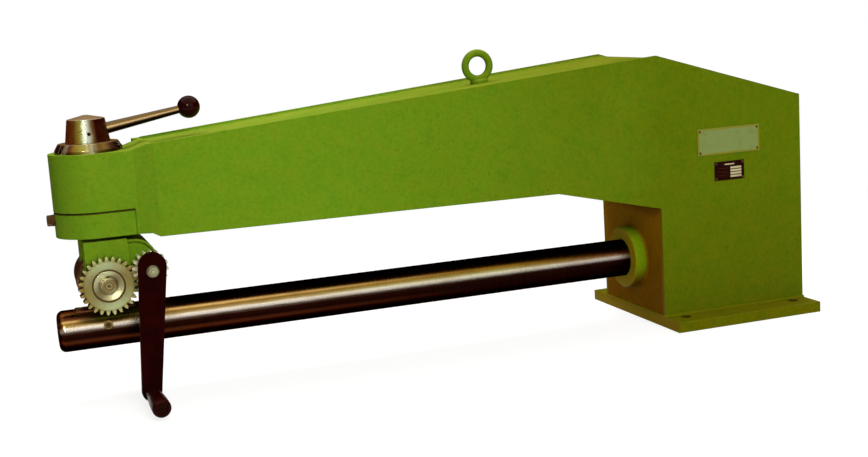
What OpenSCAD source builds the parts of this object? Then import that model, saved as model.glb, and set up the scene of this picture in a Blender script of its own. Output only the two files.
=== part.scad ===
// Hand-cranked sheet metal seaming machine: a box column and arm over a round mandrel.
// The origin is the centre of the base bolt pattern, on the underside of the base plate.
// +X runs from the roller head back to the column, +Z is up, and the crank is on the -Y side.

/* [Column] */
// Length of the column along the arm
col_len = 315.5; // [280:0.5:350]
// Width of the column across the arm
col_wid = 250; // [230:1:280]
// Height of the column's back edge
back_h = 431.5; // [400:0.5:460]
// Height of the peak where the arm leaves the column
peak_h = 528.5; // [500:0.5:560]
// Thickness of the welded plates
plate_t = 8; // [6:0.5:10]
// How far the side plates stand above the top plates
top_recess = 4; // [2:0.5:6]

/* [Base] */
// Thickness of the base plate
base_t = 20; // [15:1:25]
// Overhang of the base plate in front of and behind the column
base_lip = 1.5; // [1:0.5:10]
// Overhang of the base plate beside the column
base_side = 57; // [45:1:70]
// Diameter of the mounting holes
bolt_hole_d = 14; // [11:1:20]
// Distance of the mounting holes from the ends of the base plate
bolt_inset = 37; // [25:1:50]
// Distance of the mounting holes from the column's side
bolt_wall = 18; // [16:1:34]

/* [Arm] */
// Distance from the front of the column to the axis of the head
reach = 1048.5; // [900:0.5:1200]
// Distance from the head axis back to the end of the arm plates
head_neck = 98.5; // [92:0.5:110]
// Width of the arm where it meets the head
arm_end_wid = 166; // [156:1:180]
// Height of the arm's top edge where it meets the head
arm_end_h = 446; // [440:1:456]
// Height of the arm's lower corner at the column
throat_h = 234.5; // [225:0.5:250]
// Distance from the column at which the lower edge bends
throat_len = 211; // [160:1:260]
// Height of the recess above the lower plates' outer faces
low_recess = 3; // [2:0.5:5]

/* [Head] */
// Radius of the rounded nose
head_r = 70; // [66:0.5:74]
// How far the head's top face lies below the arm's top edge
head_drop = 11; // [8:0.5:14]
// How far the arm's lower edge lies below the cap's underside
neck_drop = 6.5; // [4:0.5:10]
// Height of the removable cap under the head
cap_h = 45; // [40:1:52]
// Length of the cap behind the head axis
cap_back = 62; // [56:1:66]
// Diameter of the sliding quill
quill_d = 60; // [52:1:62]
// Distance from the head axis to the shoulder that the arm plates stand behind
shoulder_x = 82.5; // [76:0.5:88]
// Width of the keyway in the quill
keyway_w = 10; // [8:0.5:12]
// Across-flats size of the guide screw's head
guide_af = 17; // [13:1:19]
// Height of the guide screw above the cap's underside
guide_h = 30; // [26:1:33]

/* [Lever] */
// Bottom diameter of the ring nut
ring_d = 116; // [104:1:118]
// Height of the ring nut above the head
ring_h = 16; // [13:0.5:20]
// Width of the spanner notches in the ring nut
notch_w = 10; // [8:0.5:14]
// Bottom diameter of the lever hub
hub_d = 77; // [72:0.5:80]
// Top diameter of the lever hub
hub_top_d = 65; // [60:0.5:68]
// Height of the lever hub's tapered side
hub_h = 40; // [36:0.5:44]
// Height of the shallow cone on top of the hub
hub_cone = 7; // [4:0.5:9]
// Distance from the lever's axis to the centre of its knob, along the rod
lever_len = 182; // [150:0.5:220]
// Rise of the lever rod above level, in degrees
lever_tilt = 9.7; // [6:0.1:11]
// Diameter of the lever rod at the hub
rod_d = 20.5; // [17:0.5:22]
// Diameter of the lever rod at the knob
rod_end_d = 14; // [12:0.5:15]
// Diameter of the ball knob
knob_d = 40; // [35:1:45]

/* [Quill and feed screw] */
// Lift of the roller between its working and its open position
lift = 5; // [3:0.5:6]
// Gap left between the holder and the head at full lift
rise_gap = 1.5; // [1:0.5:3]
// Diameter of the feed screw's thread
feed_d = 24; // [20:1:28]
// Diameter of the feed screw's thrust collar
thrust_d = 52; // [44:1:56]

/* [Mandrel] */
// Diameter of the mandrel
mandrel_d = 74; // [68:1:78]
// Height of the mandrel's axis
mandrel_h = 123; // [110:1:140]
// Length of the mandrel in front of the head axis
mandrel_nose = 84; // [74:1:95]
// Radius of the mandrel's rounded tip
nose_r = 11; // [8:1:20]
// Diameter of the flange where the mandrel enters the column
flange_d = 124; // [110:1:140]
// Thickness of that flange
flange_t = 25; // [18:1:32]
// Diameter of the clamp bolt behind the column
clamp_bolt_d = 24; // [20:1:30]
// Length of the wear insert on top of the mandrel
insert_len = 102; // [92:1:112]
// Width of the wear insert
insert_w = 34; // [30:1:38]
// Thickness of the wear insert at its middle
insert_t = 11; // [9:0.5:13]

/* [Rollers] */
// Diameter of the pressure roller
roller_d = 95; // [92:1:104]
// Width of the pressure roller
roller_w = 34; // [26:1:36]
// Diameter of the counter roller in the mandrel
counter_d = 62; // [56:1:62]
// Width of the counter roller
counter_w = 22; // [16:1:24]
// How far the counter roller stands above the mandrel
counter_proud = 2; // [1:0.5:3]
// Gap between the two rollers at rest
nip = 0.6; // [0.4:0.1:1.5]
// Diameter of the counter roller's axle
axle_d = 16; // [12:1:18]
// Diameter of the pressure roller's shaft
shaft_d = 30; // [26:1:32]
// Diameter of the disc on the far end of that shaft
disc_d = 90; // [80:1:92]

/* [Roller holder] */
// Distance from the quill's axis back to the pressure roller's axis
roller_back = 3; // [0:0.5:6]
// Width of the holder's cheeks along the arm
cheek_w = 74; // [72:1:84]
// Distance from the pressure roller's axis back to the cheeks' middle
cheek_back = 3.5; // [2:0.5:5]
// Distance from the middle of the machine to the outer face of a cheek
cheek_y = 62; // [58:0.5:64]
// Width of the slot that the pressure roller turns in
slot_w = 40; // [38:0.5:44]
// Thickness of the holder above the pressure roller
bridge_t = 22.8; // [18:0.2:25]
// Radius of the boss around the crank shaft
boss_r = 27; // [24:0.5:29]
// Radius of the shoulder between the cheeks and that boss
lobe_r = 36; // [33:0.5:38]
// How far the shoulder's top lies below the cheeks' top
lobe_drop = 3.5; // [2:0.5:6]
// How far the lobe's face lies behind the cheek's face
lobe_step = 6; // [4:0.5:9]
// Width of the raised rim around the lobe
rim_w = 4; // [3:0.5:6]

/* [Gears] */
// Module of the gear teeth
gear_module = 3.5; // [3.2:0.1:3.7]
// Teeth on the driven gear
gear_teeth = 27; // [26:1:28]
// Teeth on the crank's pinion
pinion_teeth = 16; // [15:1:17]
// Face width of the driven gear
gear_w = 20; // [16:1:24]
// Rise of the pinion above the gear's axis, in degrees
mesh_angle = 16.4; // [15:0.1:20]
// Outer radius of the groove around the dish in the gear's face
dish_r = 28.5; // [25:0.5:31]
// Depth of the dish
dish_depth = 5; // [3:0.5:7]

/* [Crank] */
// Distance from the crank shaft to the grip
crank_throw = 211; // [180:0.5:214]
// Lean of the crank from straight down, in degrees
crank_lean = 5.5; // [0:0.5:10]
// Diameter of the crank shaft
crank_shaft_d = 22; // [18:1:24]
// Thickness of the crank arm
crank_t = 12; // [10:1:16]
// Width of the crank arm at its boss
crank_wid = 48; // [42:1:52]
// Width of the crank arm at its foot
crank_foot_wid = 34; // [28:1:38]
// Distance from the crank shaft up to the middle of the boss
crank_rise = 8; // [4:0.5:12]
// Diameter of the grip
grip_d = 32; // [28:1:34]
// Length of the grip
grip_len = 112; // [90:1:130]
// Diameter of the spindle in the grip
spindle_d = 12; // [10:1:14]

/* [Fittings] */
// Length of the name plate
name_plate_len = 138; // [110:1:150]
// Height of the name plate
name_plate_h = 52; // [40:1:56]
// Length of the data plate
data_plate_len = 66; // [50:1:80]
// Height of the data plate
data_plate_h = 37; // [30:1:42]
// Height of the data plate's middle above the base
data_plate_z = 295; // [285:1:300]
// Distance from the middle of the data plate to the middle of the name plate
plate_pitch = 59.5; // [54:0.5:66]
// Thickness of both plates
tag_t = 1.5; // [1:0.1:2]
// Thread diameter of the lifting eyebolt
eye_thread_d = 16; // [12:1:20]
// Outer diameter of the eyebolt's ring
eye_d = 63; // [54:1:72]
// Inner diameter of the eyebolt's ring
eye_hole_d = 35; // [30:1:38]
// Distance from the column to the eyebolt
eye_dist = 313; // [250:1:400]

/* [Fits] */
// Radial clearance of everything that turns or slides
running = 0.05; // [0.03:0.01:0.08]
// Radial clearance of fixed round seats
seat = 0.1; // [0.05:0.05:0.2]
// Side clearance between turning faces
side_gap = 0.3; // [0.2:0.1:0.5]

/* [Hidden] */
$fn = 64;

green = [0.36, 0.5, 0.08];
steel = [0.72, 0.72, 0.7];
dark_steel = [0.42, 0.42, 0.42];
bronze = [0.72, 0.53, 0.25];
black = [0.07, 0.07, 0.07];
plate_grey = [0.7, 0.76, 0.66];

// Column and arm
col_front = -col_len / 2;
col_back = col_len / 2;
col_half = col_wid / 2;
head_x = col_front - reach;
arm_end = head_x + head_neck;
arm_len = col_front - arm_end;
throat_x = col_front - throat_len;
well_h = top_recess + plate_t;
bolt_x = col_len / 2 + base_lip - bolt_inset;
bolt_y = col_half + bolt_wall;
function arm_half(x) = col_half - (col_front - x) * (col_half - arm_end_wid / 2) / arm_len;
function arm_inner(x) = arm_half(x) - plate_t;
function arm_top(x) = peak_h - (col_front - x) * (peak_h - arm_end_h) / arm_len;
function col_top(x) = peak_h - (x - col_front) * (peak_h - back_h) / col_len;
arm_slope = atan((peak_h - arm_end_h) / arm_len);

// Rollers, holder and head, stacked from the mandrel up
mandrel_r = mandrel_d / 2;
mandrel_top = mandrel_h + mandrel_r;
counter_r = counter_d / 2;
axle_z = mandrel_top + counter_proud - counter_r;
roller_r = roller_d / 2;
shaft_z = mandrel_top + counter_proud + nip + roller_r;
slot_r = roller_r + 4;
holder_top = shaft_z + slot_r + bridge_t;
head_low = holder_top + lift + rise_gap;
arm_low_h = head_low - neck_drop;
seam_z = head_low + cap_h;
head_top = arm_end_h - head_drop;
ring_top = head_top + ring_h;
spigot_h = 18;
spigot_r = 42;
ring_low = head_top - spigot_h;
collar_t = 10.7;
collar_low = ring_low - side_gap - collar_t;
quill_top = collar_low - lift - 4;
quill_r = quill_d / 2;
cap_screw_r = quill_r + 18.5;
cap_screw_d = 10;
cap_head_d = 16;
cap_head_h = 10;
cap_screw_grip = 25;
guide_z = head_low + guide_h;
guide_d = 12;
guide_dog = keyway_w - 2 * side_gap;
keyway_depth = 5;

// Gears and crank
centre_dist = gear_module * (gear_teeth + pinion_teeth) / 2;
roller_x = head_x + roller_back;
cheek_x = roller_x + cheek_back;
pinion_x = roller_x + centre_dist * cos(mesh_angle);
pinion_z = shaft_z + centre_dist * sin(mesh_angle);
bush_flange_t = 2;
hub_back_y = cheek_y + bush_flange_t + side_gap;
gear_back_y = cheek_y + 6;
gear_front_y = gear_back_y + gear_w;
pinion_w = gear_w + 2;
pinion_back_y = gear_back_y - 1;
pinion_front_y = pinion_back_y + pinion_w;
crank_back_y = pinion_front_y + 13;
crank_front_y = crank_back_y + crank_t;
crank_seat_d = 16;
foot_x = pinion_x - crank_throw * sin(crank_lean);
foot_z = pinion_z - crank_throw * cos(crank_lean);
grip_gap = 3;
washer_t = 2.5;

// Tools for shapes
// A bar along X, Y or Z
module bar_x(x0, x1, y, z, d, d1 = 0) {
    translate([x0, y, z]) rotate([0, 90, 0]) cylinder(h = x1 - x0, d1 = d, d2 = d1 > 0 ? d1 : d);
}
module bar_y(y0, y1, x, z, d) {
    translate([x, y1, z]) rotate([90, 0, 0]) cylinder(h = y1 - y0, d = d);
}
module bar_z(z0, z1, x, y, d) {
    translate([x, y, z0]) cylinder(h = z1 - z0, d = d);
}
// A flat outline in X and Z, given a thickness along Y
module upright(y0, y1) {
    translate([0, y1, 0]) rotate([90, 0, 0]) linear_extrude(height = y1 - y0) children();
}
// A flat outline in X and Y, given a height
module level(z0, z1) {
    translate([0, 0, z0]) linear_extrude(height = z1 - z0) children();
}
// A solid of revolution about a line along Y, drawn as [radius, distance towards the crank]
module turned_y(x, z) {
    translate([x, 0, z]) rotate([90, 0, 0]) rotate_extrude() children();
}
module hexagon(af) {
    circle(d = af / cos(30), $fn = 6);
}
// Two circles joined by their outer tangents
module link_2d(p, r, q, s) {
    d = norm(q - p);
    a = atan2(q[1] - p[1], q[0] - p[0]);
    b = acos((r - s) / d);
    translate(p) circle(r = r);
    translate(q) circle(r = s);
    polygon([
        p + r * [cos(a + b), sin(a + b)], p + r * [cos(a - b), sin(a - b)],
        q + s * [cos(a - b), sin(a - b)], q + s * [cos(a + b), sin(a + b)]
    ]);
}

// Involute gear outline
pressure = 20;
backlash = 0.25;
flank_steps = 4;
function inv(a) = tan(a) * 180 / PI - a;
function tooth_half(r, rp, z) =
    90 / z - backlash / 2 / rp * 180 / PI
    + inv(pressure) - inv(acos(min(1, rp * cos(pressure) / r)));
module gear_2d(z, turn) {
    rp = gear_module * z / 2;
    rb = rp * cos(pressure);
    tip = rp + gear_module;
    root = rp - 1.25 * gear_module;
    radii = concat([min(root, rb)], [for (i = [0 : flank_steps]) rb + (tip - rb) * i / flank_steps]);
    n = len(radii) - 1;
    polygon([
        for (t = [0 : z - 1], side = [-1, 1], i = [0 : n])
            let (r = radii[side < 0 ? i : n - i], a = turn + t * 360 / z + side * tooth_half(r, rp, z))
            r * [cos(a), sin(a)]
    ]);
}

// Base and column
module base_plate() {
    color(green) difference() {
        level(0, base_t) square([col_len + 2 * base_lip, col_wid + 2 * base_side], center = true);
        for (x = [-bolt_x, bolt_x], y = [-bolt_y, bolt_y]) bar_z(-1, base_t + 1, x, y, bolt_hole_d);
    }
}
module column_side(y0, y1) {
    color(green) upright(y0, y1) polygon([
        [col_front, base_t], [col_back, base_t], [col_back, back_h], [col_front, peak_h]
    ]);
}
module column_front_plate() {
    x1 = col_front + plate_t;
    color(green) difference() {
        upright(plate_t - col_half, col_half - plate_t) polygon([
            [col_front, base_t], [x1, base_t], [x1, col_top(x1) - well_h],
            [col_front, peak_h - well_h]
        ]);
        bar_x(col_front - 1, x1 + 1, 0, mandrel_h, mandrel_d + 2 * seat);
    }
}
module column_back_plate() {
    x0 = col_back - plate_t;
    color(green) difference() {
        upright(plate_t - col_half, col_half - plate_t) polygon([
            [x0, base_t], [col_back, base_t], [col_back, back_h - top_recess],
            [x0, col_top(x0) - top_recess]
        ]);
        bar_x(x0 - 1, col_back + 1, 0, mandrel_h, clamp_bolt_d + 1);
    }
}
module column_top_plate() {
    x1 = col_back - plate_t;
    color(green) upright(plate_t - col_half, col_half - plate_t) polygon([
        [col_front, peak_h - top_recess], [x1, col_top(x1) - top_recess],
        [x1, col_top(x1) - well_h], [col_front, peak_h - well_h]
    ]);
}

// Arm: tapered plates, each the plan of its strip cut to its side view
module arm_plan(x0, x1) {
    level(0, peak_h) polygon([
        [x0, -arm_inner(x0)], [x1, -arm_inner(x1)], [x1, arm_inner(x1)], [x0, arm_inner(x0)]
    ]);
}
module arm_side(side) {
    color(green) intersection() {
        level(0, peak_h) polygon([
            [col_front, side * col_half], [col_front, side * arm_inner(col_front)],
            [arm_end, side * arm_inner(arm_end)], [arm_end, side * arm_half(arm_end)]
        ]);
        upright(-col_half, col_half) polygon([
            [col_front, throat_h], [col_front, peak_h], [arm_end, arm_end_h],
            [arm_end, arm_low_h], [throat_x, arm_low_h]
        ]);
    }
}
module arm_top_plate() {
    hole_x = col_front - eye_dist;
    color(green) difference() {
        intersection() {
            arm_plan(arm_end, col_front);
            upright(-col_half, col_half) polygon([
                [col_front, peak_h - top_recess], [arm_end, arm_end_h - top_recess],
                [arm_end, arm_end_h - well_h], [col_front, peak_h - well_h]
            ]);
        }
        eyebolt_place() bar_z(-2 * plate_t, plate_t, 0, 0, eye_thread_d + 2 * seat);
    }
}
low_plate_h = arm_low_h + low_recess;
module arm_bottom_plate() {
    color(green) intersection() {
        arm_plan(arm_end, throat_x);
        upright(-col_half, col_half) polygon([
            [arm_end, low_plate_h], [arm_end, low_plate_h + plate_t],
            [throat_x, low_plate_h + plate_t], [throat_x, low_plate_h]
        ]);
    }
}
module throat_plate() {
    color(green) intersection() {
        arm_plan(throat_x, col_front);
        upright(-col_half, col_half) polygon([
            [throat_x, low_plate_h], [throat_x, low_plate_h + plate_t],
            [col_front, throat_h + low_recess + plate_t], [col_front, throat_h + low_recess]
        ]);
    }
}

// Head
tongue_len = 28;
ramp_y = 50;
module head_plan() {
    x0 = head_x + shoulder_x - 16;
    level(0, peak_h) {
        translate([head_x, 0]) circle(r = head_r);
        polygon([
            [head_x, -head_r], [x0, -head_r], [arm_end, -arm_half(arm_end)],
            [arm_end, arm_half(arm_end)], [x0, head_r], [head_x, head_r]
        ]);
    }
}
module head_casting() {
    cap_x = head_x + cap_back;
    shoulder = head_x + shoulder_x;
    tongue = arm_end + tongue_len;
    ramp_x = head_x + ring_d / 2 + 1;
    ramp_end = arm_end - 8;
    color(green) difference() {
        union() {
            intersection() {
                head_plan();
                union() {
                    upright(-col_half, col_half) polygon([
                        [head_x - head_r, seam_z], [cap_x, seam_z], [cap_x, head_low],
                        [(cap_x + 2 * arm_end) / 3, head_low], [arm_end, arm_low_h],
                        [arm_end, head_top], [head_x - head_r, head_top]
                    ]);
                    // Ramp up to the arm's plates, and a step beside it on the far side
                    upright(-col_half, ramp_y) polygon([
                        [ramp_x, head_top - 3], [arm_end, head_top - 3], [arm_end, arm_end_h - 1],
                        [ramp_end, arm_end_h - 1], [ramp_x, head_top]
                    ]);
                    upright(ramp_y - 1, col_half) polygon([
                        [shoulder, head_top - 3], [arm_end, head_top - 3],
                        [arm_end, arm_end_h - 1], [shoulder, arm_end_h - 1]
                    ]);
                }
            }
            intersection() {
                arm_plan(arm_end, tongue);
                upright(-col_half, col_half) polygon([
                    [arm_end, low_plate_h + plate_t], [tongue, low_plate_h + plate_t],
                    [tongue, arm_top(tongue) - well_h], [arm_end, arm_end_h - well_h]
                ]);
            }
        }
        bar_z(seam_z - 1, ring_low + 1, head_x, 0, quill_d + 2 * running);
        bar_z(ring_low, head_top + 1, head_x, 0, 2 * (spigot_r + seat));
        cap_screw_places() bar_z(seam_z - 1, seam_z + cap_screw_grip + 2, 0, 0, cap_screw_d + 2 * seat);
    }
}
module cap_screw_places() {
    for (a = [45 : 90 : 315])
        translate([head_x + cap_screw_r * cos(a), cap_screw_r * sin(a), 0]) children();
}
spotface = 1.5;
nose_flat = head_x - head_r + spotface;
seam_groove = 2.8;
module quill_cap() {
    edge = 2;
    color(green) difference() {
        level(head_low, seam_z) translate([head_x, 0]) {
            circle(r = head_r);
            polygon([
                [0, -head_r], [cap_back - edge, -head_r], [cap_back, edge - head_r],
                [cap_back, head_r - edge], [cap_back - edge, head_r], [0, head_r]
            ]);
        }
        // Groove along the parting line
        difference() {
            level(seam_z - seam_groove, seam_z + 1) {
                translate([head_x, 0]) circle(r = head_r + 1);
                translate([head_x, -head_r - 1]) square([cap_back + 1, 2 * head_r + 2]);
            }
            level(seam_z - 2 * seam_groove, seam_z + 2) {
                translate([head_x, 0]) circle(r = head_r - seam_groove);
                translate([head_x, seam_groove - head_r])
                    square([cap_back + 2, 2 * (head_r - seam_groove)]);
            }
        }
        // Flat back face against the head
        translate([head_x + cap_back, -head_r, head_low - 1]) cube([head_r, 2 * head_r, cap_h + 2]);
        bar_z(head_low - 1, seam_z + 1, head_x, 0, quill_d + 2 * running);
        cap_screw_places() {
            bar_z(head_low - 1, seam_z + 1, 0, 0, cap_screw_d + 1);
            bar_z(head_low - 1, head_low + cap_head_h + 1, 0, 0, cap_head_d + 1);
        }
        bar_x(nose_flat - 5, nose_flat, 0, guide_z, guide_af * 1.5);
        bar_x(nose_flat - 1, head_x, 0, guide_z, guide_d + 2 * seat);
    }
}
module cap_screws() {
    z0 = head_low + 1;
    color(dark_steel) cap_screw_places() difference() {
        union() {
            bar_z(z0, z0 + cap_head_h, 0, 0, cap_head_d);
            bar_z(z0 + 1, seam_z + cap_screw_grip, 0, 0, cap_screw_d);
        }
        level(z0 - 1, z0 + cap_head_h / 2) hexagon(8);
    }
}
guide_nut_t = 6;
module quill_guide_screw() {
    x0 = nose_flat - guide_nut_t;
    color(steel) difference() {
        union() {
            translate([x0 - 8, 0, guide_z]) rotate([0, 90, 0]) linear_extrude(height = 8) hexagon(guide_af);
            bar_x(x0 - 1, head_x - quill_r - 1, 0, guide_z, guide_d);
            bar_x(head_x - quill_r - 2, head_x - quill_r + keyway_depth - 1, 0, guide_z, guide_dog);
        }
        translate([x0 - 9, 0, guide_z]) rotate([0, 90, 0]) difference() {
            cylinder(h = 2.5, d = 3 * guide_af);
            cylinder(h = 2.5, d1 = guide_af * 0.8, d2 = guide_af * 1.2);
        }
    }
}
module guide_lock_nut() {
    color(steel) difference() {
        translate([nose_flat - guide_nut_t, 0, guide_z]) rotate([0, 90, 0])
            linear_extrude(height = guide_nut_t) rotate(30) hexagon(guide_af + 2);
        bar_x(nose_flat - 2 * guide_nut_t, nose_flat + 1, 0, guide_z, guide_d + 2 * seat);
    }
}
feed_journal_d = feed_d + 2;
module ring_nut() {
    bevel = 6.5;
    color(steel) difference() {
        translate([head_x, 0, 0]) rotate_extrude() polygon([
            [0, ring_low], [spigot_r, ring_low], [spigot_r, head_top], [ring_d / 2, head_top],
            [ring_d / 2, head_top + ring_h / 3], [ring_d / 2 - bevel, ring_top], [0, ring_top]
        ]);
        bar_z(ring_low - 1, ring_top + 1, head_x, 0, feed_journal_d + 2 * running);
        for (a = [30 : 60 : 330]) translate([head_x, 0, head_top + 1]) rotate(a)
            translate([ring_d / 2 - bevel, -notch_w / 2, 0]) cube([2 * bevel, notch_w, ring_h]);
    }
}

// Mandrel and its fastening in the column
mandrel_end = col_back - plate_t;
tip_x = head_x - mandrel_nose;
counter_slot = counter_w + 1.5;
insert_low = mandrel_top + counter_proud - insert_t;
module counter_pocket() {
    bar_y(-counter_slot / 2, counter_slot / 2, head_x, axle_z, counter_d + 4);
}
module insert_screw_places() {
    for (x = [-1, 1]) translate([head_x + x * (insert_len / 2 - 9), 0, 0]) children();
}
module mandrel() {
    lock_a = 55;
    color(steel) difference() {
        translate([tip_x, 0, mandrel_h]) rotate([0, 90, 0]) rotate_extrude() union() {
            translate([0, nose_r]) square([mandrel_r, mandrel_end - tip_x - nose_r]);
            square([mandrel_r - nose_r, nose_r + 1]);
            intersection() {
                translate([mandrel_r - nose_r, nose_r]) circle(r = nose_r);
                square(mandrel_r);
            }
        }
        counter_pocket();
        translate([head_x - insert_len / 2 - seat, -insert_w / 2 - seat, insert_low])
            cube([insert_len + 2 * seat, insert_w + 2 * seat, mandrel_r]);
        bar_y(-mandrel_r, mandrel_r, head_x, axle_z, axle_d + 2 * seat);
        insert_screw_places() bar_z(insert_low - 14, insert_low + 1, 0, 0, 6 + 2 * seat);
        bar_x(mandrel_end - 52, mandrel_end + 1, 0, mandrel_h, clamp_bolt_d + 2 * seat);
        // Lubrication hole beside the insert
        translate([head_x - insert_len / 2 - 6, 0, mandrel_h]) rotate([90 - lock_a, 0, 0])
            cylinder(h = mandrel_r + 1, d = 5);
    }
}
module mandrel_insert() {
    color(dark_steel) difference() {
        intersection() {
            translate([head_x - insert_len / 2, -insert_w / 2, insert_low])
                cube([insert_len, insert_w, 2 * insert_t]);
            bar_x(head_x - insert_len, head_x + insert_len, 0, mandrel_h, mandrel_d + 2 * counter_proud);
        }
        counter_pocket();
        insert_screw_places() {
            bar_z(insert_low - 1, mandrel_top + 5, 0, 0, 6.6);
            translate([0, 0, mandrel_top + counter_proud - 4])
                cylinder(h = 4.1, d1 = 6, d2 = 12);
        }
    }
}
module insert_screws() {
    top = mandrel_top + counter_proud - 0.4;
    color(steel) insert_screw_places() difference() {
        union() {
            translate([0, 0, top - 3.4]) cylinder(h = 3.4, d1 = 5.5, d2 = 11.2);
            bar_z(insert_low - 13, top - 2, 0, 0, 6);
        }
        translate([-7, -0.7, top - 1.5]) cube([14, 1.4, 3]);
    }
}
module mandrel_flange() {
    bevel = 3;
    x0 = col_front - flange_t;
    color(green) difference() {
        union() {
            bar_x(x0, x0 + bevel, 0, mandrel_h, flange_d - 2 * bevel, flange_d);
            bar_x(x0 + bevel, col_front, 0, mandrel_h, flange_d);
        }
        bar_x(x0 - 1, col_front + 1, 0, mandrel_h, mandrel_d + 2 * seat);
    }
}
socket_t = 20;
module mandrel_rear_socket() {
    color(green) difference() {
        bar_x(mandrel_end - socket_t, mandrel_end, 0, mandrel_h, mandrel_d + 40);
        bar_x(mandrel_end - socket_t - 1, mandrel_end + 1, 0, mandrel_h, mandrel_d + 2 * seat);
    }
}
clamp_washer_t = 8;
module clamp_washer() {
    color(steel) difference() {
        bar_x(col_back, col_back + clamp_washer_t, 0, mandrel_h, 3 * clamp_bolt_d);
        bar_x(col_back - 1, col_back + clamp_washer_t + 1, 0, mandrel_h, clamp_bolt_d + 1);
    }
}
module clamp_bolt() {
    x0 = col_back + clamp_washer_t;
    head_t = clamp_bolt_d * 0.625;
    color(steel) {
        intersection() {
            translate([x0, 0, mandrel_h]) rotate([0, 90, 0]) linear_extrude(height = head_t)
                hexagon(1.5 * clamp_bolt_d);
            bar_x(x0, x0 + head_t, 0, mandrel_h, 2 * clamp_bolt_d, 1.5 * clamp_bolt_d);
        }
        bar_x(mandrel_end - 48, x0 + 1, 0, mandrel_h, clamp_bolt_d);
    }
}
module counter_roller_axle() {
    half_len = sqrt(pow(mandrel_r, 2) - pow(axle_z - mandrel_h + axle_d / 2, 2)) - 0.5;
    color(steel) bar_y(-half_len, half_len, head_x, axle_z, axle_d);
}

// Lifting eye, square to the arm's sloping top plate
eye_x = col_front - eye_dist;
module eyebolt_place() {
    translate([eye_x, 0, arm_top(eye_x) - top_recess]) rotate([0, -arm_slope, 0]) children();
}
eye_wire = (eye_d - eye_hole_d) / 4;
eye_height = eye_d / 2 + 1;
eye_shank = plate_t + 14;
module lifting_eyebolt() {
    mid_r = (eye_d + eye_hole_d) / 4;
    color(green) eyebolt_place() {
        translate([0, 0, eye_height]) rotate([90, 0, 0]) rotate_extrude()
            translate([mid_r, 0]) circle(r = eye_wire);
        difference() {
            union() {
                cylinder(h = 5, d = eye_hole_d);
                translate([0, 0, 5]) cylinder(h = 6, d1 = eye_hole_d, d2 = 2.4 * eye_wire);
            }
            translate([0, eye_d, eye_height]) rotate([90, 0, 0]) cylinder(h = 2 * eye_d, r = mid_r);
        }
        bar_z(-eye_shank, 1, 0, 0, eye_thread_d);
    }
}
eye_boss_h = 16;
module eyebolt_boss() {
    color(green) eyebolt_place() translate([0, 0, -plate_t * cos(arm_slope) - eye_boss_h]) difference() {
        cylinder(h = eye_boss_h, d = 3 * eye_thread_d);
        translate([0, 0, -1]) cylinder(h = eye_boss_h + 2, d = eye_thread_d + 2 * seat);
    }
}

// Plates on the column's near side
plate_x = -6;
name_plate_z = data_plate_z + plate_pitch;
module tag_plate(len, high, z) {
    upright(-col_half - tag_t, -col_half) translate([plate_x, z])
        square([len, high], center = true);
}
module tag_holes(len, high, z, inset) {
    for (x = [-1, 1], y = [-1, 1])
        translate([plate_x + x * (len / 2 - inset), 0, z + y * (high / 2 - inset)]) children();
}
rivet_d = 3;
module name_plate() {
    color(plate_grey) difference() {
        tag_plate(name_plate_len, name_plate_h, name_plate_z);
        tag_holes(name_plate_len, name_plate_h, name_plate_z, 5)
            bar_y(-col_half - 3, -col_half + 1, 0, 0, rivet_d + 2 * seat);
    }
}
module data_plate() {
    color(black) difference() {
        tag_plate(data_plate_len, data_plate_h, data_plate_z);
        tag_holes(data_plate_len, data_plate_h, data_plate_z, 3.5)
            bar_y(-col_half - 3, -col_half + 1, 0, 0, rivet_d + 2 * seat);
    }
}
module rivet() {
    turned_y(0, 0) polygon([
        [0, col_half], [rivet_d / 2, col_half], [rivet_d / 2, col_half + tag_t],
        [rivet_d * 0.9, col_half + tag_t], [rivet_d * 0.6, col_half + tag_t + 1],
        [0, col_half + tag_t + 1.2]
    ]);
}
module plate_rivets() {
    color(steel) {
        tag_holes(name_plate_len, name_plate_h, name_plate_z, 5) rivet();
        tag_holes(data_plate_len, data_plate_h, data_plate_z, 3.5) rivet();
    }
}

// Lever and feed screw
hub_low = ring_top + side_gap;
hub_shaft_d = feed_d - 2;
hub_shaft_top = hub_low + hub_h - 4;
lever_z = hub_low + 0.39 * hub_h;
rod_start = hub_d / 2 - 8;
hub_screw_d = 6;
module lever_line() {
    translate([head_x, 0, lever_z]) rotate([0, 90 - lever_tilt, 0]) children();
}
module feed_screw() {
    color(steel) {
        bar_z(seam_z - 2, collar_low + 1, head_x, 0, feed_d);
        bar_z(collar_low, collar_low + collar_t, head_x, 0, thrust_d);
        bar_z(collar_low + 1, hub_low, head_x, 0, feed_journal_d);
        bar_z(hub_low - 1, hub_shaft_top, head_x, 0, hub_shaft_d);
    }
}
module lever_hub() {
    color(steel) difference() {
        translate([head_x, 0, 0]) rotate_extrude() polygon([
            [0, hub_low], [hub_d / 2, hub_low], [hub_top_d / 2, hub_low + hub_h],
            [hub_top_d / 2 - 2, hub_low + hub_h + 1], [4, hub_low + hub_h + hub_cone],
            [0, hub_low + hub_h + hub_cone]
        ]);
        bar_z(hub_low - 1, hub_shaft_top + seat, head_x, 0, hub_shaft_d + 2 * seat);
        lever_line() {
            bar_z(rod_start, hub_d, 0, 0, rod_d + 2 * seat);
            bar_z(hub_shaft_d / 2 + 3, hub_d, 0, 0, rod_end_d + 2 * seat);
        }
        bar_y(-hub_d, 0, head_x, lever_z, hub_screw_d + 2 * seat);
    }
}
module lever_set_screw() {
    y0 = -hub_shaft_d / 2 - seat;
    color(dark_steel) difference() {
        bar_y(y0 - 16, y0, head_x, lever_z, hub_screw_d);
        upright(y0 - 17, y0 - 12) translate([head_x, lever_z]) hexagon(hub_screw_d / 2);
    }
}
knob_flat = knob_d / 2 - 1.5;
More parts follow.
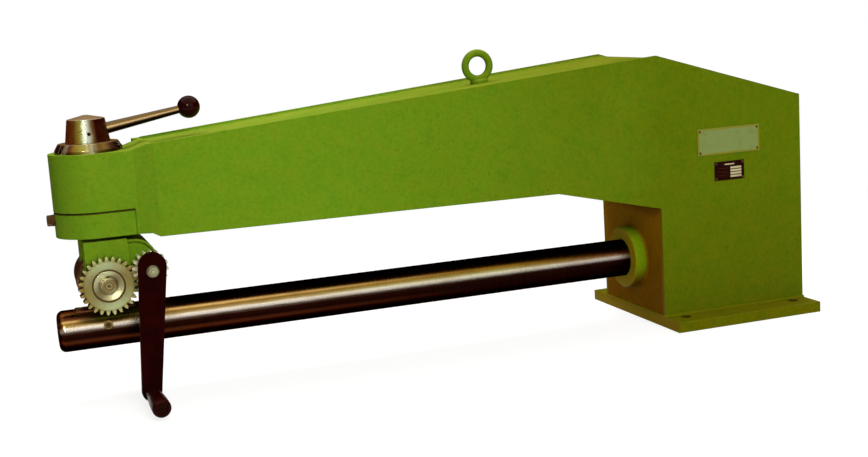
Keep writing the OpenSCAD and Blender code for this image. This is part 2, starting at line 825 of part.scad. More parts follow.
knob_hole_d = 10;
module lever_rod() {
    color(steel) lever_line() {
        bar_z(hub_shaft_d / 2 + 3 + seat, rod_start + 1, 0, 0, rod_end_d);
        translate([0, 0, rod_start + seat])
            cylinder(h = lever_len - knob_flat - rod_start - seat, d1 = rod_d, d2 = rod_end_d);
        bar_z(lever_len - knob_flat - 1, lever_len + 4, 0, 0, knob_hole_d);
    }
}
module lever_knob() {
    color(black) lever_line() difference() {
        translate([0, 0, lever_len]) sphere(d = knob_d);
        bar_z(lever_len - knob_d, lever_len - knob_flat, 0, 0, knob_d);
        bar_z(lever_len - knob_d, lever_len + 5, 0, 0, knob_hole_d + 2 * seat);
    }
}

// Quill and roller holder
quill_bolt_d = 16;
quill_bolt_head_d = 24;
quill_bolt_head_t = 7;
module quill() {
    screw_hole = seam_z - 2 - lift - 4;
    color(steel) difference() {
        bar_z(holder_top, quill_top, head_x, 0, quill_d);
        bar_z(screw_hole, quill_top + 1, head_x, 0, feed_d + 2 * running);
        bar_z(holder_top - 1, holder_top + 28, head_x, 0, quill_bolt_d + 2 * seat);
        translate([head_x - quill_r - 1, -keyway_w / 2, guide_z - lift - keyway_w])
            cube([keyway_depth + 1, keyway_w, lift + 2 * keyway_w]);
    }
}
module quill_bolt() {
    z0 = shaft_z + slot_r + 1;
    color(dark_steel) difference() {
        union() {
            bar_z(z0, z0 + quill_bolt_head_t, head_x, 0, quill_bolt_head_d);
            bar_z(z0 + 1, holder_top + 26, head_x, 0, quill_bolt_d);
        }
        level(z0 - 1, z0 + 4) translate([head_x, 0]) hexagon(10);
    }
}
lobe_x = pinion_x - 19.5;
lobe_z = holder_top - lobe_drop - lobe_r;
module lobe_2d(inset) {
    root_x = cheek_x + cheek_w / 4;
    link_2d([lobe_x, lobe_z], lobe_r - inset, [pinion_x, pinion_z], boss_r - inset);
    link_2d([root_x, lobe_z], lobe_r - inset, [lobe_x, lobe_z], lobe_r - inset - 0.01);
    link_2d([root_x, shaft_z], boss_r - inset, [pinion_x, pinion_z], boss_r - inset - 0.01);
}
module roller_holder() {
    bush_hole = shaft_d + 8 + 2 * seat;
    crank_hole = crank_shaft_d + 8 + 2 * seat;
    lobe_y = cheek_y - lobe_step;
    z0 = shaft_z + slot_r;
    color(green) difference() {
        union() {
            // Cheeks and bridge
            upright(-cheek_y, cheek_y) {
                translate([cheek_x, shaft_z]) circle(d = cheek_w);
                translate([cheek_x - cheek_w / 2, shaft_z]) square([cheek_w, holder_top - shaft_z]);
            }
            // Lobe with a raised rim, and the crank shaft's boss
            difference() {
                upright(-lobe_y, lobe_y) lobe_2d(0);
                for (y = [-lobe_y - 1, lobe_y - 5]) upright(y, y + 6) lobe_2d(rim_w);
            }
            bar_y(-cheek_y, cheek_y, pinion_x, pinion_z, crank_hole + 10);
        }
        bar_y(-slot_w / 2, slot_w / 2, roller_x, shaft_z, 2 * slot_r);
        translate([roller_x - slot_r, -slot_w / 2, shaft_z - slot_r]) cube([2 * slot_r, slot_w, slot_r]);
        bar_y(-cheek_y - 1, cheek_y + 1, roller_x, shaft_z, bush_hole);
        bar_y(-cheek_y - 1, cheek_y + 1, pinion_x, pinion_z, crank_hole);
        bar_z(z0 - 5, holder_top + 1, head_x, 0, quill_bolt_d + 1);
        bar_z(z0 - 5, z0 + quill_bolt_head_t + 1, head_x, 0, quill_bolt_head_d + 1);
    }
}
// A flanged bush, from the cheek's face inwards; side is -1 near the crank and 1 away from it
module flanged_bush(x, z, d, side) {
    long = cheek_y - slot_w / 2;
    color(bronze) translate([x, 0, z]) rotate([side > 0 ? -90 : 90, 0, 0]) difference() {
        union() {
            bar_z(cheek_y - long, cheek_y + 1, 0, 0, d + 8);
            bar_z(cheek_y, cheek_y + bush_flange_t, 0, 0, d + 14);
        }
        bar_z(0, cheek_y + 5, 0, 0, d + 2 * running);
    }
}

// Pressure roller, its shaft and gear
key_w = 8;
key_t = 7;
gear_key_w = 6;
gear_key_t = 6;
roller_hub_y = slot_w / 2 - side_gap;
key_z = shaft_z + shaft_d / 2;
module pressure_roller() {
    bevel = 3;
    groove = 1.5;
    color(steel) difference() {
        turned_y(roller_x, shaft_z) polygon([
            [0, -roller_hub_y], [shaft_d / 2 + 9, -roller_hub_y], [shaft_d / 2 + 9, -roller_w / 2],
            [roller_r - bevel, -roller_w / 2], [roller_r, bevel - roller_w / 2],
            [roller_r, roller_w / 2 - bevel], [roller_r - bevel, roller_w / 2],
            [roller_r - 8, roller_w / 2], [roller_r - 10, roller_w / 2 - groove],
            [shaft_d / 2 + 11, roller_w / 2 - groove], [shaft_d / 2 + 9, roller_w / 2],
            [shaft_d / 2 + 9, roller_hub_y], [0, roller_hub_y]
        ]);
        bar_y(-slot_w, slot_w, roller_x, shaft_z, shaft_d + 2 * seat);
        keyway(key_w / 2, -slot_w, slot_w, roller_x, shaft_z, key_z + key_t / 2);
    }
}
module roller_key() {
    half_len = roller_hub_y - 4;
    color(dark_steel) translate([roller_x - key_w / 2 + seat, -half_len, key_z - key_t / 2])
        cube([key_w - 2 * seat, 2 * half_len, key_t - seat]);
}
gear_seat_d = shaft_d - 4;
nut_r = 14;
nut_t = 6;
thread_d = 18;
dish_y = gear_front_y - dish_depth;
gear_key_z = shaft_z + gear_seat_d / 2 - gear_key_t / 2;
collar_w = 10;
crank_collar_w = 8;
module keyway(half_w, y0, y1, x, z0, z1) {
    translate([x - half_w, -y1, z0]) cube([2 * half_w, y1 - y0, z1 - z0]);
}
module roller_shaft() {
    color(steel) difference() {
        union() {
            bar_y(-hub_back_y, hub_back_y + collar_w, roller_x, shaft_z, shaft_d);
            bar_y(-dish_y + 1, 0, roller_x, shaft_z, gear_seat_d);
            bar_y(-dish_y - nut_t - 2, 0, roller_x, shaft_z, thread_d);
        }
        bar_y(-dish_y - nut_t - 3, -dish_y - nut_t + 4, roller_x, shaft_z, 7);
        keyway(key_w / 2, -roller_hub_y, roller_hub_y, roller_x, key_z - key_t / 2 - seat, key_z + 1);
        keyway(gear_key_w / 2, hub_back_y + 1, dish_y, roller_x, gear_key_z, gear_key_z + gear_key_t);
    }
}
module drive_gear() {
    color(steel) difference() {
        union() {
            upright(-gear_front_y, -gear_back_y) translate([roller_x, shaft_z])
                gear_2d(gear_teeth, mesh_angle + 180 / gear_teeth);
            bar_y(-gear_back_y - 1, -hub_back_y, roller_x, shaft_z, gear_seat_d + 20);
        }
        bar_y(-gear_front_y - 1, 0, roller_x, shaft_z, gear_seat_d + 2 * seat);
        turned_y(roller_x, shaft_z) polygon([
            [0, dish_y], [nut_r + 1, dish_y], [dish_r - 3, gear_front_y - 1.5],
            [dish_r - 2, gear_front_y - dish_depth + 1], [dish_r, gear_front_y - dish_depth + 1],
            [dish_r, gear_front_y + 1], [0, gear_front_y + 1]
        ]);
        keyway(gear_key_w / 2 + seat, hub_back_y - 1, dish_y + 1, roller_x, shaft_z,
            gear_key_z + gear_key_t + seat);
    }
}
module gear_key() {
    color(dark_steel) keyway(gear_key_w / 2 - seat, hub_back_y + 1.5, dish_y - 0.5, roller_x,
        gear_key_z, gear_key_z + gear_key_t - seat);
}
module gear_nut() {
    color(steel) difference() {
        turned_y(roller_x, shaft_z) polygon([
            [0, dish_y], [nut_r, dish_y], [nut_r, dish_y + nut_t - 1],
            [nut_r - 1.5, dish_y + nut_t], [0, dish_y + nut_t]
        ]);
        bar_y(-gear_front_y - nut_t, 0, roller_x, shaft_z, thread_d + 2 * seat);
        for (a = [45 : 90 : 315]) translate([roller_x, -dish_y - nut_t - 1, shaft_z]) rotate([0, a, 0])
            translate([nut_r - 2.5, 0, -2]) cube([5, nut_t / 2 + 1, 4]);
    }
}
// A shaft collar with a grub screw's socket in its rim
module collar(x, z, d, rim, wide) {
    y0 = hub_back_y;
    color(dark_steel) difference() {
        bar_y(y0, y0 + wide, x, z, rim);
        bar_y(y0 - 1, y0 + wide + 1, x, z, d + 2 * seat);
        translate([x, y0 + wide / 2, z + d / 2 + 5]) linear_extrude(height = rim) hexagon(wide * 0.4);
    }
}
module shaft_collar() {
    collar(roller_x, shaft_z, shaft_d, disc_d, collar_w);
}
module crank_collar() {
    collar(pinion_x, pinion_z, crank_shaft_d, crank_shaft_d + 16, crank_collar_w);
}

// Crank
crank_key_z = pinion_z + crank_shaft_d / 2 - gear_key_t / 2;
crank_bolt_d = 10;
crank_bolt_af = 17;
module crank_shaft() {
    color(steel) difference() {
        union() {
            bar_y(-crank_back_y + 0.5, hub_back_y + crank_collar_w, pinion_x, pinion_z, crank_shaft_d);
            bar_y(-crank_front_y + 0.5, 0, pinion_x, pinion_z, crank_seat_d);
        }
        bar_y(-crank_front_y - 1, -crank_front_y + 26, pinion_x, pinion_z, crank_bolt_d + 2 * seat);
        keyway(gear_key_w / 2, pinion_back_y + 2, pinion_front_y, pinion_x, crank_key_z,
            crank_key_z + gear_key_t);
    }
}
module pinion() {
    color(steel) difference() {
        union() {
            upright(-pinion_front_y, -pinion_back_y) translate([pinion_x, pinion_z])
                gear_2d(pinion_teeth, mesh_angle + 180);
            bar_y(-crank_back_y + side_gap, -hub_back_y, pinion_x, pinion_z, crank_shaft_d + 12);
        }
        bar_y(-crank_front_y, 0, pinion_x, pinion_z, crank_shaft_d + 2 * seat);
        keyway(gear_key_w / 2 + seat, pinion_back_y + 1, pinion_front_y + 1, pinion_x, pinion_z,
            crank_key_z + gear_key_t + seat);
    }
}
module pinion_key() {
    color(dark_steel) keyway(gear_key_w / 2 - seat, pinion_back_y + 2.5, pinion_front_y - 0.5, pinion_x,
        crank_key_z, crank_key_z + gear_key_t - seat);
}
module crank_arm() {
    color(black) difference() {
        upright(-crank_front_y, -crank_back_y)
            link_2d([pinion_x, pinion_z] + crank_rise * [sin(crank_lean), cos(crank_lean)],
                crank_wid / 2, [foot_x, foot_z], crank_foot_wid / 2);
        bar_y(-crank_front_y - 1, 0, pinion_x, pinion_z, crank_seat_d + 2 * seat);
        bar_y(-crank_front_y - 1, 0, foot_x, foot_z, spindle_d + 2 * seat);
    }
}
module crank_washer() {
    color(steel) difference() {
        bar_y(-crank_front_y - washer_t, -crank_front_y, pinion_x, pinion_z, crank_seat_d + 5);
        bar_y(-crank_front_y - washer_t - 1, 0, pinion_x, pinion_z, crank_bolt_d + 4 * seat);
    }
}
module crank_bolt() {
    y0 = crank_front_y + washer_t;
    color(steel) {
        upright(-y0 - 6.5, -y0) translate([pinion_x, pinion_z]) hexagon(crank_bolt_af);
        bar_y(-y0 - 1, -crank_front_y + 24, pinion_x, pinion_z, crank_bolt_d);
    }
}
grip_y = crank_front_y + grip_gap;
grip_sink = 5;
module grip_spindle() {
    y1 = grip_y + grip_len - grip_sink;
    color(steel) {
        bar_y(-y1, -crank_back_y, foot_x, foot_z, spindle_d);
        bar_y(-grip_y + side_gap, -crank_front_y, foot_x, foot_z, spindle_d + 8);
        difference() {
            bar_y(-y1 - 4, -y1, foot_x, foot_z, spindle_d + 6);
            upright(-y1 - 5, -y1 - 2.5) translate([foot_x, foot_z])
                square([spindle_d + 10, 2], center = true);
        }
    }
}
module crank_grip() {
    r = grip_d / 2;
    y1 = grip_y + grip_len;
    color(black) difference() {
        turned_y(foot_x, foot_z) union() {
            polygon([
                [0, grip_y], [r - 5, grip_y], [r - 4, grip_y + 1.5], [r - 4.5, grip_y + grip_len * 0.15],
                [r - 2, grip_y + grip_len * 0.35], [r - 0.5, grip_y + grip_len * 0.6],
                [r, grip_y + grip_len * 0.8], [r, y1 - 6], [0, y1 - 6]
            ]);
            translate([0, y1 - 7]) square([r - 6, 7]);
            intersection() {
                translate([r - 6, y1 - 6]) circle(r = 6);
                translate([0, y1 - 6]) square([r, 6]);
            }
        }
        bar_y(-y1 - 1, 0, foot_x, foot_z, spindle_d + 2 * running);
        bar_y(-y1 - 1, -y1 + grip_sink + side_gap, foot_x, foot_z, spindle_d + 7);
    }
}

// Counter roller
counter_bush_t = 3;
module counter_roller() {
    bevel = 1;
    color(steel) difference() {
        turned_y(head_x, axle_z) polygon([
            [0, -counter_w / 2], [counter_r - bevel, -counter_w / 2],
            [counter_r, bevel - counter_w / 2], [counter_r, counter_w / 2 - bevel],
            [counter_r - bevel, counter_w / 2], [0, counter_w / 2]
        ]);
        bar_y(-counter_w, counter_w, head_x, axle_z, axle_d + 2 * counter_bush_t + 2 * seat);
    }
}
module counter_bush() {
    half_len = counter_w / 2 + side_gap;
    color(bronze) difference() {
        bar_y(-half_len, half_len, head_x, axle_z, axle_d + 2 * counter_bush_t);
        bar_y(-counter_w, counter_w, head_x, axle_z, axle_d + 2 * running);
    }
}

base_plate();
column_side(-col_half, plate_t - col_half);  // column_side_near
column_side(col_half - plate_t, col_half);  // column_side_far
column_front_plate();
column_back_plate();
column_top_plate();
arm_side(-1);  // arm_side_near
arm_side(1);  // arm_side_far
arm_top_plate();
arm_bottom_plate();
throat_plate();
head_casting();
quill_cap();
cap_screws();
quill_guide_screw();
guide_lock_nut();
ring_nut();
mandrel_flange();
mandrel();
mandrel_insert();
insert_screws();
mandrel_rear_socket();
clamp_washer();
clamp_bolt();
counter_roller_axle();
lifting_eyebolt();
eyebolt_boss();
name_plate();
data_plate();
plate_rivets();
feed_screw();
lever_hub();
lever_set_screw();
lever_rod();
lever_knob();
quill();
quill_bolt();
roller_holder();
flanged_bush(roller_x, shaft_z, shaft_d, -1);  // roller_bush_near
flanged_bush(roller_x, shaft_z, shaft_d, 1);  // roller_bush_far
flanged_bush(pinion_x, pinion_z, crank_shaft_d, -1);  // crank_bush_near
flanged_bush(pinion_x, pinion_z, crank_shaft_d, 1);  // crank_bush_far
pressure_roller();
roller_key();
roller_shaft();
drive_gear();
gear_key();
gear_nut();
shaft_collar();
crank_shaft();
pinion();
pinion_key();
crank_arm();
crank_washer();
crank_bolt();
crank_collar();
grip_spindle();
crank_grip();
counter_roller();
counter_bush();
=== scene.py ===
import math

import bmesh
import bpy
from mathutils import Matrix, Vector


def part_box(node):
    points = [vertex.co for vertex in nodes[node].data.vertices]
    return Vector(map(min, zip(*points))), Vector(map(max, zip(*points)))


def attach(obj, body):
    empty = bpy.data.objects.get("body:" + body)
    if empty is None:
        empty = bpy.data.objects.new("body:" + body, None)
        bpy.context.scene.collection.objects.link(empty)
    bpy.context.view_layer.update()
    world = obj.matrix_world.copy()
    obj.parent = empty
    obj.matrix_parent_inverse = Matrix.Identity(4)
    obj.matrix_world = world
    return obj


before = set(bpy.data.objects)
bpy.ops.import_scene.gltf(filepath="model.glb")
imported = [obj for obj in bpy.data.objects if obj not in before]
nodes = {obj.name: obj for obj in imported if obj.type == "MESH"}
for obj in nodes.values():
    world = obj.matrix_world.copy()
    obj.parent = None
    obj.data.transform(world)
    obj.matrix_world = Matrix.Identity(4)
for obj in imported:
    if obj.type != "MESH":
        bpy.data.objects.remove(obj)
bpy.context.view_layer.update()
scene = bpy.context.scene
MM = 0.001


# Places read from the CAD model, in millimetres
def box_mm(node):
    return [[round(v / MM, 3) for v in corner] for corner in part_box(node)]


def middle_mm(node):
    lo, hi = box_mm(node)
    return [(a + b) / 2 for a, b in zip(lo, hi)]


def axis_at(node):
    """Where a node's centre line along y crosses the middle plane, in metres."""
    x, _, z = middle_mm(node)
    return (x * MM, 0.0, z * MM)


side_low, side_high = box_mm("column_side_near")
COL_X = side_high[0]
COL_Y = -side_low[1]
PEAK_Z = side_high[2]
PLATE_T = side_high[1] - side_low[1]
BASE_T = box_mm("base_plate")[1][2]

arm_low, arm_high = box_mm("arm_side_near")
arm_top_low, arm_top_high = box_mm("arm_top_plate")
RECESS = PEAK_Z - arm_top_high[2]
ARM_END_X = arm_low[0]
ARM_END_Y = PLATE_T - arm_high[1]
ARM_END_Z = arm_top_low[2] + PLATE_T + RECESS
ARM_LEN = -COL_X - ARM_END_X
ARM_UNDER_Z = box_mm("arm_bottom_plate")[0][2]
throat_low = box_mm("throat_plate")[0]

col_top_low, col_top_high = box_mm("column_top_plate")
BACK_FALL = (col_top_high[2] - PLATE_T - col_top_low[2]) / (col_top_high[0] - col_top_low[0])

HEAD_X = middle_mm("counter_roller_axle")[0]
SEAM_Z = box_mm("quill_cap")[1][2]
MANDREL_Z = middle_mm("mandrel")[2]
FLANGE_R = box_mm("mandrel_flange")[1][1]
gear_at = axis_at("pressure_roller")
pinion_at = axis_at("pinion")
axle_at = axis_at("counter_roller_axle")
head_at = (HEAD_X * MM, 0.0, 0.0)

# Camera, fitted to the photograph
CAM_AT = (-1.40917, -2.39478, 0.64314)
CAM_RIGHT = Vector((0.939899, -0.335832, -0.061703))
CAM_UP = Vector((0.111911, 0.132251, 0.984878))
CAM_AHEAD = Vector((0.322593, 0.932591, -0.161886))
cam_data = bpy.data.cameras.new("camera")
cam_data.sensor_width = 36.0
cam_data.sensor_fit = "HORIZONTAL"
cam_data.lens = 55.60
cam_data.clip_end = 60.0
cam = bpy.data.objects.new("camera", cam_data)
scene.collection.objects.link(cam)
cam.matrix_world = Matrix.Translation(CAM_AT) @ Matrix((CAM_RIGHT, CAM_UP, -CAM_AHEAD)).transposed().to_4x4()
scene.camera = cam
scene.view_settings.view_transform = "Standard"


# Materials
class Look:
    """A Principled material with short helpers for its procedural nodes."""

    def __init__(self, name, metal=0.0):
        self.mat = bpy.data.materials.new(name)
        self.mat.use_nodes = True
        self.tree = self.mat.node_tree
        self.tree.nodes.clear()
        out = self.new("OutputMaterial")
        self.bsdf = self.new("BsdfPrincipled")
        self.join(self.bsdf.outputs[0], out.inputs["Surface"])
        self.where = self.new("TexCoord").outputs["Object"]
        self.set(Metallic=metal)

    def new(self, kind):
        return self.tree.nodes.new("ShaderNode" + kind)

    def join(self, a, b):
        self.tree.links.new(a, b)

    def feed(self, socket, value):
        if isinstance(value, bpy.types.NodeSocket):
            self.join(value, socket)
        elif isinstance(value, (tuple, list)) and len(value) == 3 and socket.type == "RGBA":
            socket.default_value = (*value, 1.0)
        else:
            socket.default_value = value

    def set(self, **sockets):
        """Feeds the material's own inputs; a name has _ for each space of the input's name."""
        for key, value in sockets.items():
            self.feed(self.bsdf.inputs[key.replace("_", " ")], value)

    def math(self, op, a, b=0.0, clamp=False):
        n = self.new("Math")
        n.operation = op
        n.use_clamp = clamp
        self.feed(n.inputs[0], a)
        self.feed(n.inputs[1], b)
        return n.outputs[0]

    def plus(self, a, b):
        return self.math("ADD", a, b)

    def times(self, a, b):
        return self.math("MULTIPLY", a, b)

    def above(self, a, b):
        """1 where a is more than b, and else 0."""
        return self.math("GREATER_THAN", a, b)

    def xyz(self, vector):
        n = self.new("SeparateXYZ")
        self.join(vector, n.inputs[0])
        return n.outputs["X"], n.outputs["Y"], n.outputs["Z"]

    def length(self, vector):
        n = self.new("VectorMath")
        n.operation = "LENGTH"
        self.join(vector, n.inputs[0])
        return n.outputs["Value"]

    def normal(self):
        return self.new("NewGeometry").outputs["Normal"]

    def mapped(self, scale=(1, 1, 1), shift=(0, 0, 0)):
        n = self.new("Mapping")
        n.inputs["Scale"].default_value = scale
        n.inputs["Location"].default_value = shift
        self.join(self.where, n.inputs["Vector"])
        return n.outputs[0]

    def noise(self, scale, detail=3.0, rough=0.55, vector=None, distort=0.0):
        n = self.new("TexNoise")
        n.inputs["Scale"].default_value = scale
        n.inputs["Detail"].default_value = detail
        n.inputs["Roughness"].default_value = rough
        n.inputs["Distortion"].default_value = distort
        self.join(vector or self.where, n.inputs["Vector"])
        return n.outputs[0]

    def rings(self, centre, axis, period):
        """Fine concentric marks round a line along the axis; at scale 1 the texture's period is pi / 10."""
        n = self.new("TexWave")
        n.wave_type = "RINGS"
        n.rings_direction = axis
        n.inputs["Scale"].default_value = math.pi / 10 / period
        n.inputs["Distortion"].default_value = 0.6
        n.inputs["Detail"].default_value = 2.0
        n.inputs["Detail Scale"].default_value = 2.0
        self.join(self.mapped(shift=tuple(-c for c in centre)), n.inputs["Vector"])
        return n.outputs["Fac"]

    def ramp(self, value, stops):
        n = self.new("ValToRGB")
        n.color_ramp.interpolation = "LINEAR"
        while len(n.color_ramp.elements) < len(stops):
            n.color_ramp.elements.new(0.5)
        for e, (at, c) in zip(n.color_ramp.elements, stops):
            e.position = at
            e.color = (*c, 1.0) if isinstance(c, (tuple, list)) else (c, c, c, 1.0)
        self.feed(n.inputs[0], value)
        return n.outputs[0]

    def span(self, value, lo, hi, a, b):
        """a up to lo, b from hi on, and a straight line between them."""
        n = self.new("MapRange")
        n.clamp = True
        self.feed(n.inputs["Value"], value)
        for key, v in zip(("From Min", "From Max", "To Min", "To Max"), (lo, hi, a, b)):
            n.inputs[key].default_value = v
        return n.outputs[0]

    def drift(self, value, noise, by, lo=0.3, hi=0.7, clamp=False):
        """The value moved up or down by the noise, so that what it bounds has a wandering edge."""
        return self.math("ADD", value, self.span(noise, lo, hi, -by, by), clamp)

    def mix(self, fac, a, b, kind="MIX"):
        n = self.new("Mix")
        n.data_type = "RGBA"
        n.blend_type = kind
        self.feed(n.inputs[0], fac)
        self.feed(n.inputs[6], a)
        self.feed(n.inputs[7], b)
        return n.outputs[2]

    def tint(self, base, shade):
        return self.mix(1.0, base, shade, "MULTIPLY")

    def edge(self, radius):
        """1 on sharp edges and 0 on flat faces, and the rounded normal."""
        bevel = self.new("Bevel")
        bevel.samples = 4
        bevel.inputs["Radius"].default_value = radius
        dot = self.new("VectorMath")
        dot.operation = "DOT_PRODUCT"
        self.join(bevel.outputs[0], dot.inputs[0])
        self.join(self.normal(), dot.inputs[1])
        return self.span(dot.outputs["Value"], 0.995, 0.8, 0.0, 1.0), bevel.outputs[0]

    def bump(self, height, depth, normal):
        n = self.new("Bump")
        n.inputs["Distance"].default_value = depth
        self.join(height, n.inputs["Height"])
        self.join(normal, n.inputs["Normal"])
        return n.outputs[0]

    def facing_up(self):
        return self.span(self.xyz(self.normal())[2], 0.5, 0.98, 0.0, 1.0)


def scaled(colour, *factors):
    """The colour times one factor, or times one for each channel."""
    if len(factors) == 1:
        factors *= 3
    return tuple(min(1.0, c * f) for c, f in zip(colour, factors))


def paint(name, colour, rough=0.45, cast=0.0, worn=1.0, gloss=0.07, fades=(), front=None, west=None,
          groove_shade=None, holes=None):
    """Brushed-on workshop enamel: painted shade that turns it browner towards the column and its foot, with
    orange peel, dust and chipped edges.

    cast is the strength of a casting's rough skin and worn the strength of the rubbed edges. Each of the
    fades is (z, z, colour), a band of painted shade or painted light: the colour comes in from the first
    height to the second. front is (x, colour), the painted shade of a face that is painted by itself, and
    west the painted shade of all faces that look towards the head. Above the height given for the groove,
    the groove is darkened as painted shade, and holes is the place of four holes with dark rings round
    them, as (x, y)."""
    k = Look(name)
    x, y, z = k.xyz(k.where)
    cloud = k.noise(5.0, 4.0, 0.6)
    # Painted shade: browner towards the column, with a wandering edge, and browner still low on the column's
    # foot
    far = k.drift(k.span(x, -0.85, -0.10, 0.0, 1.0), cloud, 0.10, clamp=True)
    foot = k.times(k.span(x, -0.35, -0.16, 0.0, 1.0), k.span(z, 0.34, 0.0, 0.0, 0.9))
    base = k.mix(far, colour, scaled(colour, 0.70, 0.55, 0.12))
    base = k.mix(foot, base, scaled(colour, 0.68, 0.43, 0.10))
    # Bands of painted shade and painted light by height
    for start, end, shade in fades:
        base = k.mix(k.span(k.drift(z, cloud, 0.004), start, end, 0.0, 0.9), base, shade)

    fine = k.noise(150.0, 3.0, 0.7)
    patch = k.ramp(k.noise(38.0, 4.0, 0.65), [
        (0.34, (1.10, 0.99, 1.0)), (0.50, (1.0, 1.0, 1.0)), (0.64, (0.88, 0.98, 0.9))])
    grain = k.ramp(fine, [
        (0.32, (1.09, 1.06, 1.0)), (0.5, (1.0, 1.0, 1.0)), (0.66, (0.86, 0.88, 0.8))])
    base = k.tint(k.tint(base, patch), grain)
    base = k.mix(k.times(k.above(k.noise(90.0, 2.0, 0.5), 0.735), 0.4), base, (0.06, 0.04, 0.004))
    dust = k.times(k.facing_up(), k.span(k.noise(14.0, 4.0), 0.35, 0.75, 0.10, 0.38))
    # Dust on faces that look up; its colour also turns browner with the painted shade towards the column
    base = k.mix(dust, base, k.mix(far, (0.36, 0.37, 0.045), (0.24, 0.19, 0.006)))

    rim, normal = k.edge(0.0016)
    rub = k.times(rim, k.span(k.noise(60.0, 4.0, 0.7), 0.42, 0.6, 0.0, 1.0))
    base = k.mix(k.times(rub, 0.40 * worn), base, (0.30, 0.33, 0.04))
    chip = k.times(rim, k.above(k.noise(130.0, 3.0, 0.6), 0.63))
    base = k.mix(k.times(chip, 0.7 * worn), base, (0.08, 0.05, 0.02))
    # Painted shade on the face at x
    if front is not None:
        base = k.mix(k.span(x, front[0] + 0.0003, front[0] + 0.0018, 0.9, 0.0), base, front[1])
    # Painted shade on faces that look towards the head
    if west is not None:
        base = k.mix(k.span(k.xyz(k.normal())[0], -0.6, -0.9, 0.0, 0.9), base, west)
    # Painted shade in a groove above the given height
    if groove_shade is not None:
        base = k.mix(k.span(z, groove_shade - 0.0016, groove_shade + 0.0002, 0.0, 0.94), base, (0.035, 0.014, 0.001))
    if holes is not None:
        from_hole = [k.math("POWER", k.math("SUBTRACT", k.math("ABSOLUTE", along_axis), at), 2.0)
                     for along_axis, at in zip((x, y), holes)]
        out = k.drift(k.math("SQRT", k.plus(*from_hole)), fine, 0.0015)
        base = k.mix(k.span(out, 0.0085, 0.0125, 0.85, 0.0), base, (0.030, 0.014, 0.002))

    height = k.noise(420.0, 2.0, 0.5)
    if cast:
        height = k.plus(height, k.times(k.noise(150.0, 4.0, 0.7), cast))
    shine = k.span(k.noise(24.0, 4.0), 0.3, 0.7, rough - 0.06, rough + 0.12)
    k.set(Base_Color=base, Roughness=shine, Normal=k.bump(height, 0.00012, normal),
          Specular_IOR_Level=gloss, Specular_Tint=(0.85, 1.0, 0.45))
    return k.mat


def painted_fan_highlights(k, base, flat, out, cloud, fan):
    """Two opposite lighter fan shapes, painted highlights, on a turned face between two radii, with darker
    painted shade between them.

    fan is (angle, low, high, lean, inner, outer); lean is how much the fan at the angle is the lighter."""
    angle, low, high, lean, inner, outer = fan
    soft = 0.0006
    x, _, z = k.xyz(flat)
    away = k.math("SUBTRACT", k.math("ARCTAN2", z, x), math.radians(angle))
    both = k.drift(k.math("COSINE", k.times(away, 2.0)), cloud, 0.35)
    share = k.plus(k.span(both, -1.0, 1.0, 0.0, 1.0 - lean),
                   k.span(k.math("COSINE", away), -0.8, 0.8, 0.0, lean))
    ring = k.times(k.span(out, inner, inner + soft, 0.0, 1.0), k.span(out, outer, outer + soft, 1.0, 0.0))
    return k.mix(ring, base, k.tint(base, k.mix(share, low, high)))


def steel(name, colour, rough, marks, depth=0.00001, stain=0.5, film_and_reflections=(0.16, 0.11, 0.07), rim_lift=0.35,
          zones=None, fans=(), around=None, height_reflections=None, metal=1.0):
    """Bare machined steel with tool marks, oil stains and brighter edges, rubbed bright and, where they are
    lifted far, a painted highlight.

    zones is (centre, [(radius, shade), ...]): a turned face whose tone changes with the distance
    from the y axis through the centre. The lighter fan shapes of painted highlight lie on such a face. The
    list for turns is [(turn, shade), ...]: painted reflections that change round the head's axis, from 0 to 1
    for a whole turn, and give way to a plain tan on faces that look up, where the steel is also less
    metallic. The list for heights is [(height, shade), ...]: painted reflections that change with the
    height of the surface's normal, from 0 for down to 1 for up."""
    k = Look(name, metal)
    lines = marks(k)
    cloud = k.noise(30.0, 5.0, 0.65, distort=0.4)
    base = k.mix(k.span(lines, 0.2, 0.8, 0.0, 0.32), colour, scaled(colour, 0.66))
    base = k.mix(k.span(cloud, 0.45, 0.8, 0.0, stain), base, film_and_reflections)
    if zones:
        centre, stops = zones
        flat = k.mapped(scale=(1, 0, 1), shift=(-centre[0], 0, -centre[2]))
        out = k.length(flat)
        reach = stops[-1][0]
        base = k.tint(base, k.ramp(k.math("DIVIDE", out, reach), [(r / reach, c) for r, c in stops]))
        for fan in fans:
            base = painted_fan_highlights(k, base, flat, out, cloud, fan)
    # Painted reflections round the head's axis, plain tan on faces that look up
    if around:
        x, y, _ = k.xyz(k.mapped(shift=(-HEAD_X * MM, 0.0, 0.0)))
        turn = k.span(k.math("ARCTAN2", y, x), -math.pi, math.pi, 0.0, 1.0)
        top = k.facing_up()
        base = k.tint(base, k.mix(top, k.ramp(k.drift(turn, cloud, 0.006), around), (0.54, 0.38, 0.24)))
        k.set(Metallic=k.span(top, 0.0, 1.0, metal, 0.35))
    # Painted reflections by the height of the normal
    if height_reflections:
        height = k.span(k.xyz(k.normal())[2], -1.0, 1.0, 0.0, 1.0)
        base = k.tint(base, k.ramp(k.drift(height, lines, 0.02, 0.2, 0.8), height_reflections))
    # Brighter edges: rubbed bright, and a painted highlight where they are lifted far
    rim, normal = k.edge(0.0008)
    base = k.mix(k.times(rim, rim_lift), base, scaled(colour, 1.35))
    shine = k.plus(k.span(cloud, 0.3, 0.75, rough - 0.05, rough + 0.12), k.span(lines, 0.2, 0.8, 0.0, 0.06))
    k.set(Base_Color=base, Roughness=shine, Normal=k.bump(lines, depth, normal))
    return k.mat


def along(x=1.0, y=1.0, z=1.0, scale=1.0):
    """Tool marks stretched along the axes with a low factor."""
    return lambda k: k.noise(scale, 2.0, 0.6, k.mapped(scale=(x, y, z)))


def faced(centre, axis, period=0.0011):
    """Tool marks of a turned face, in rings round the centre."""
    return lambda k: k.rings(centre, axis, period)


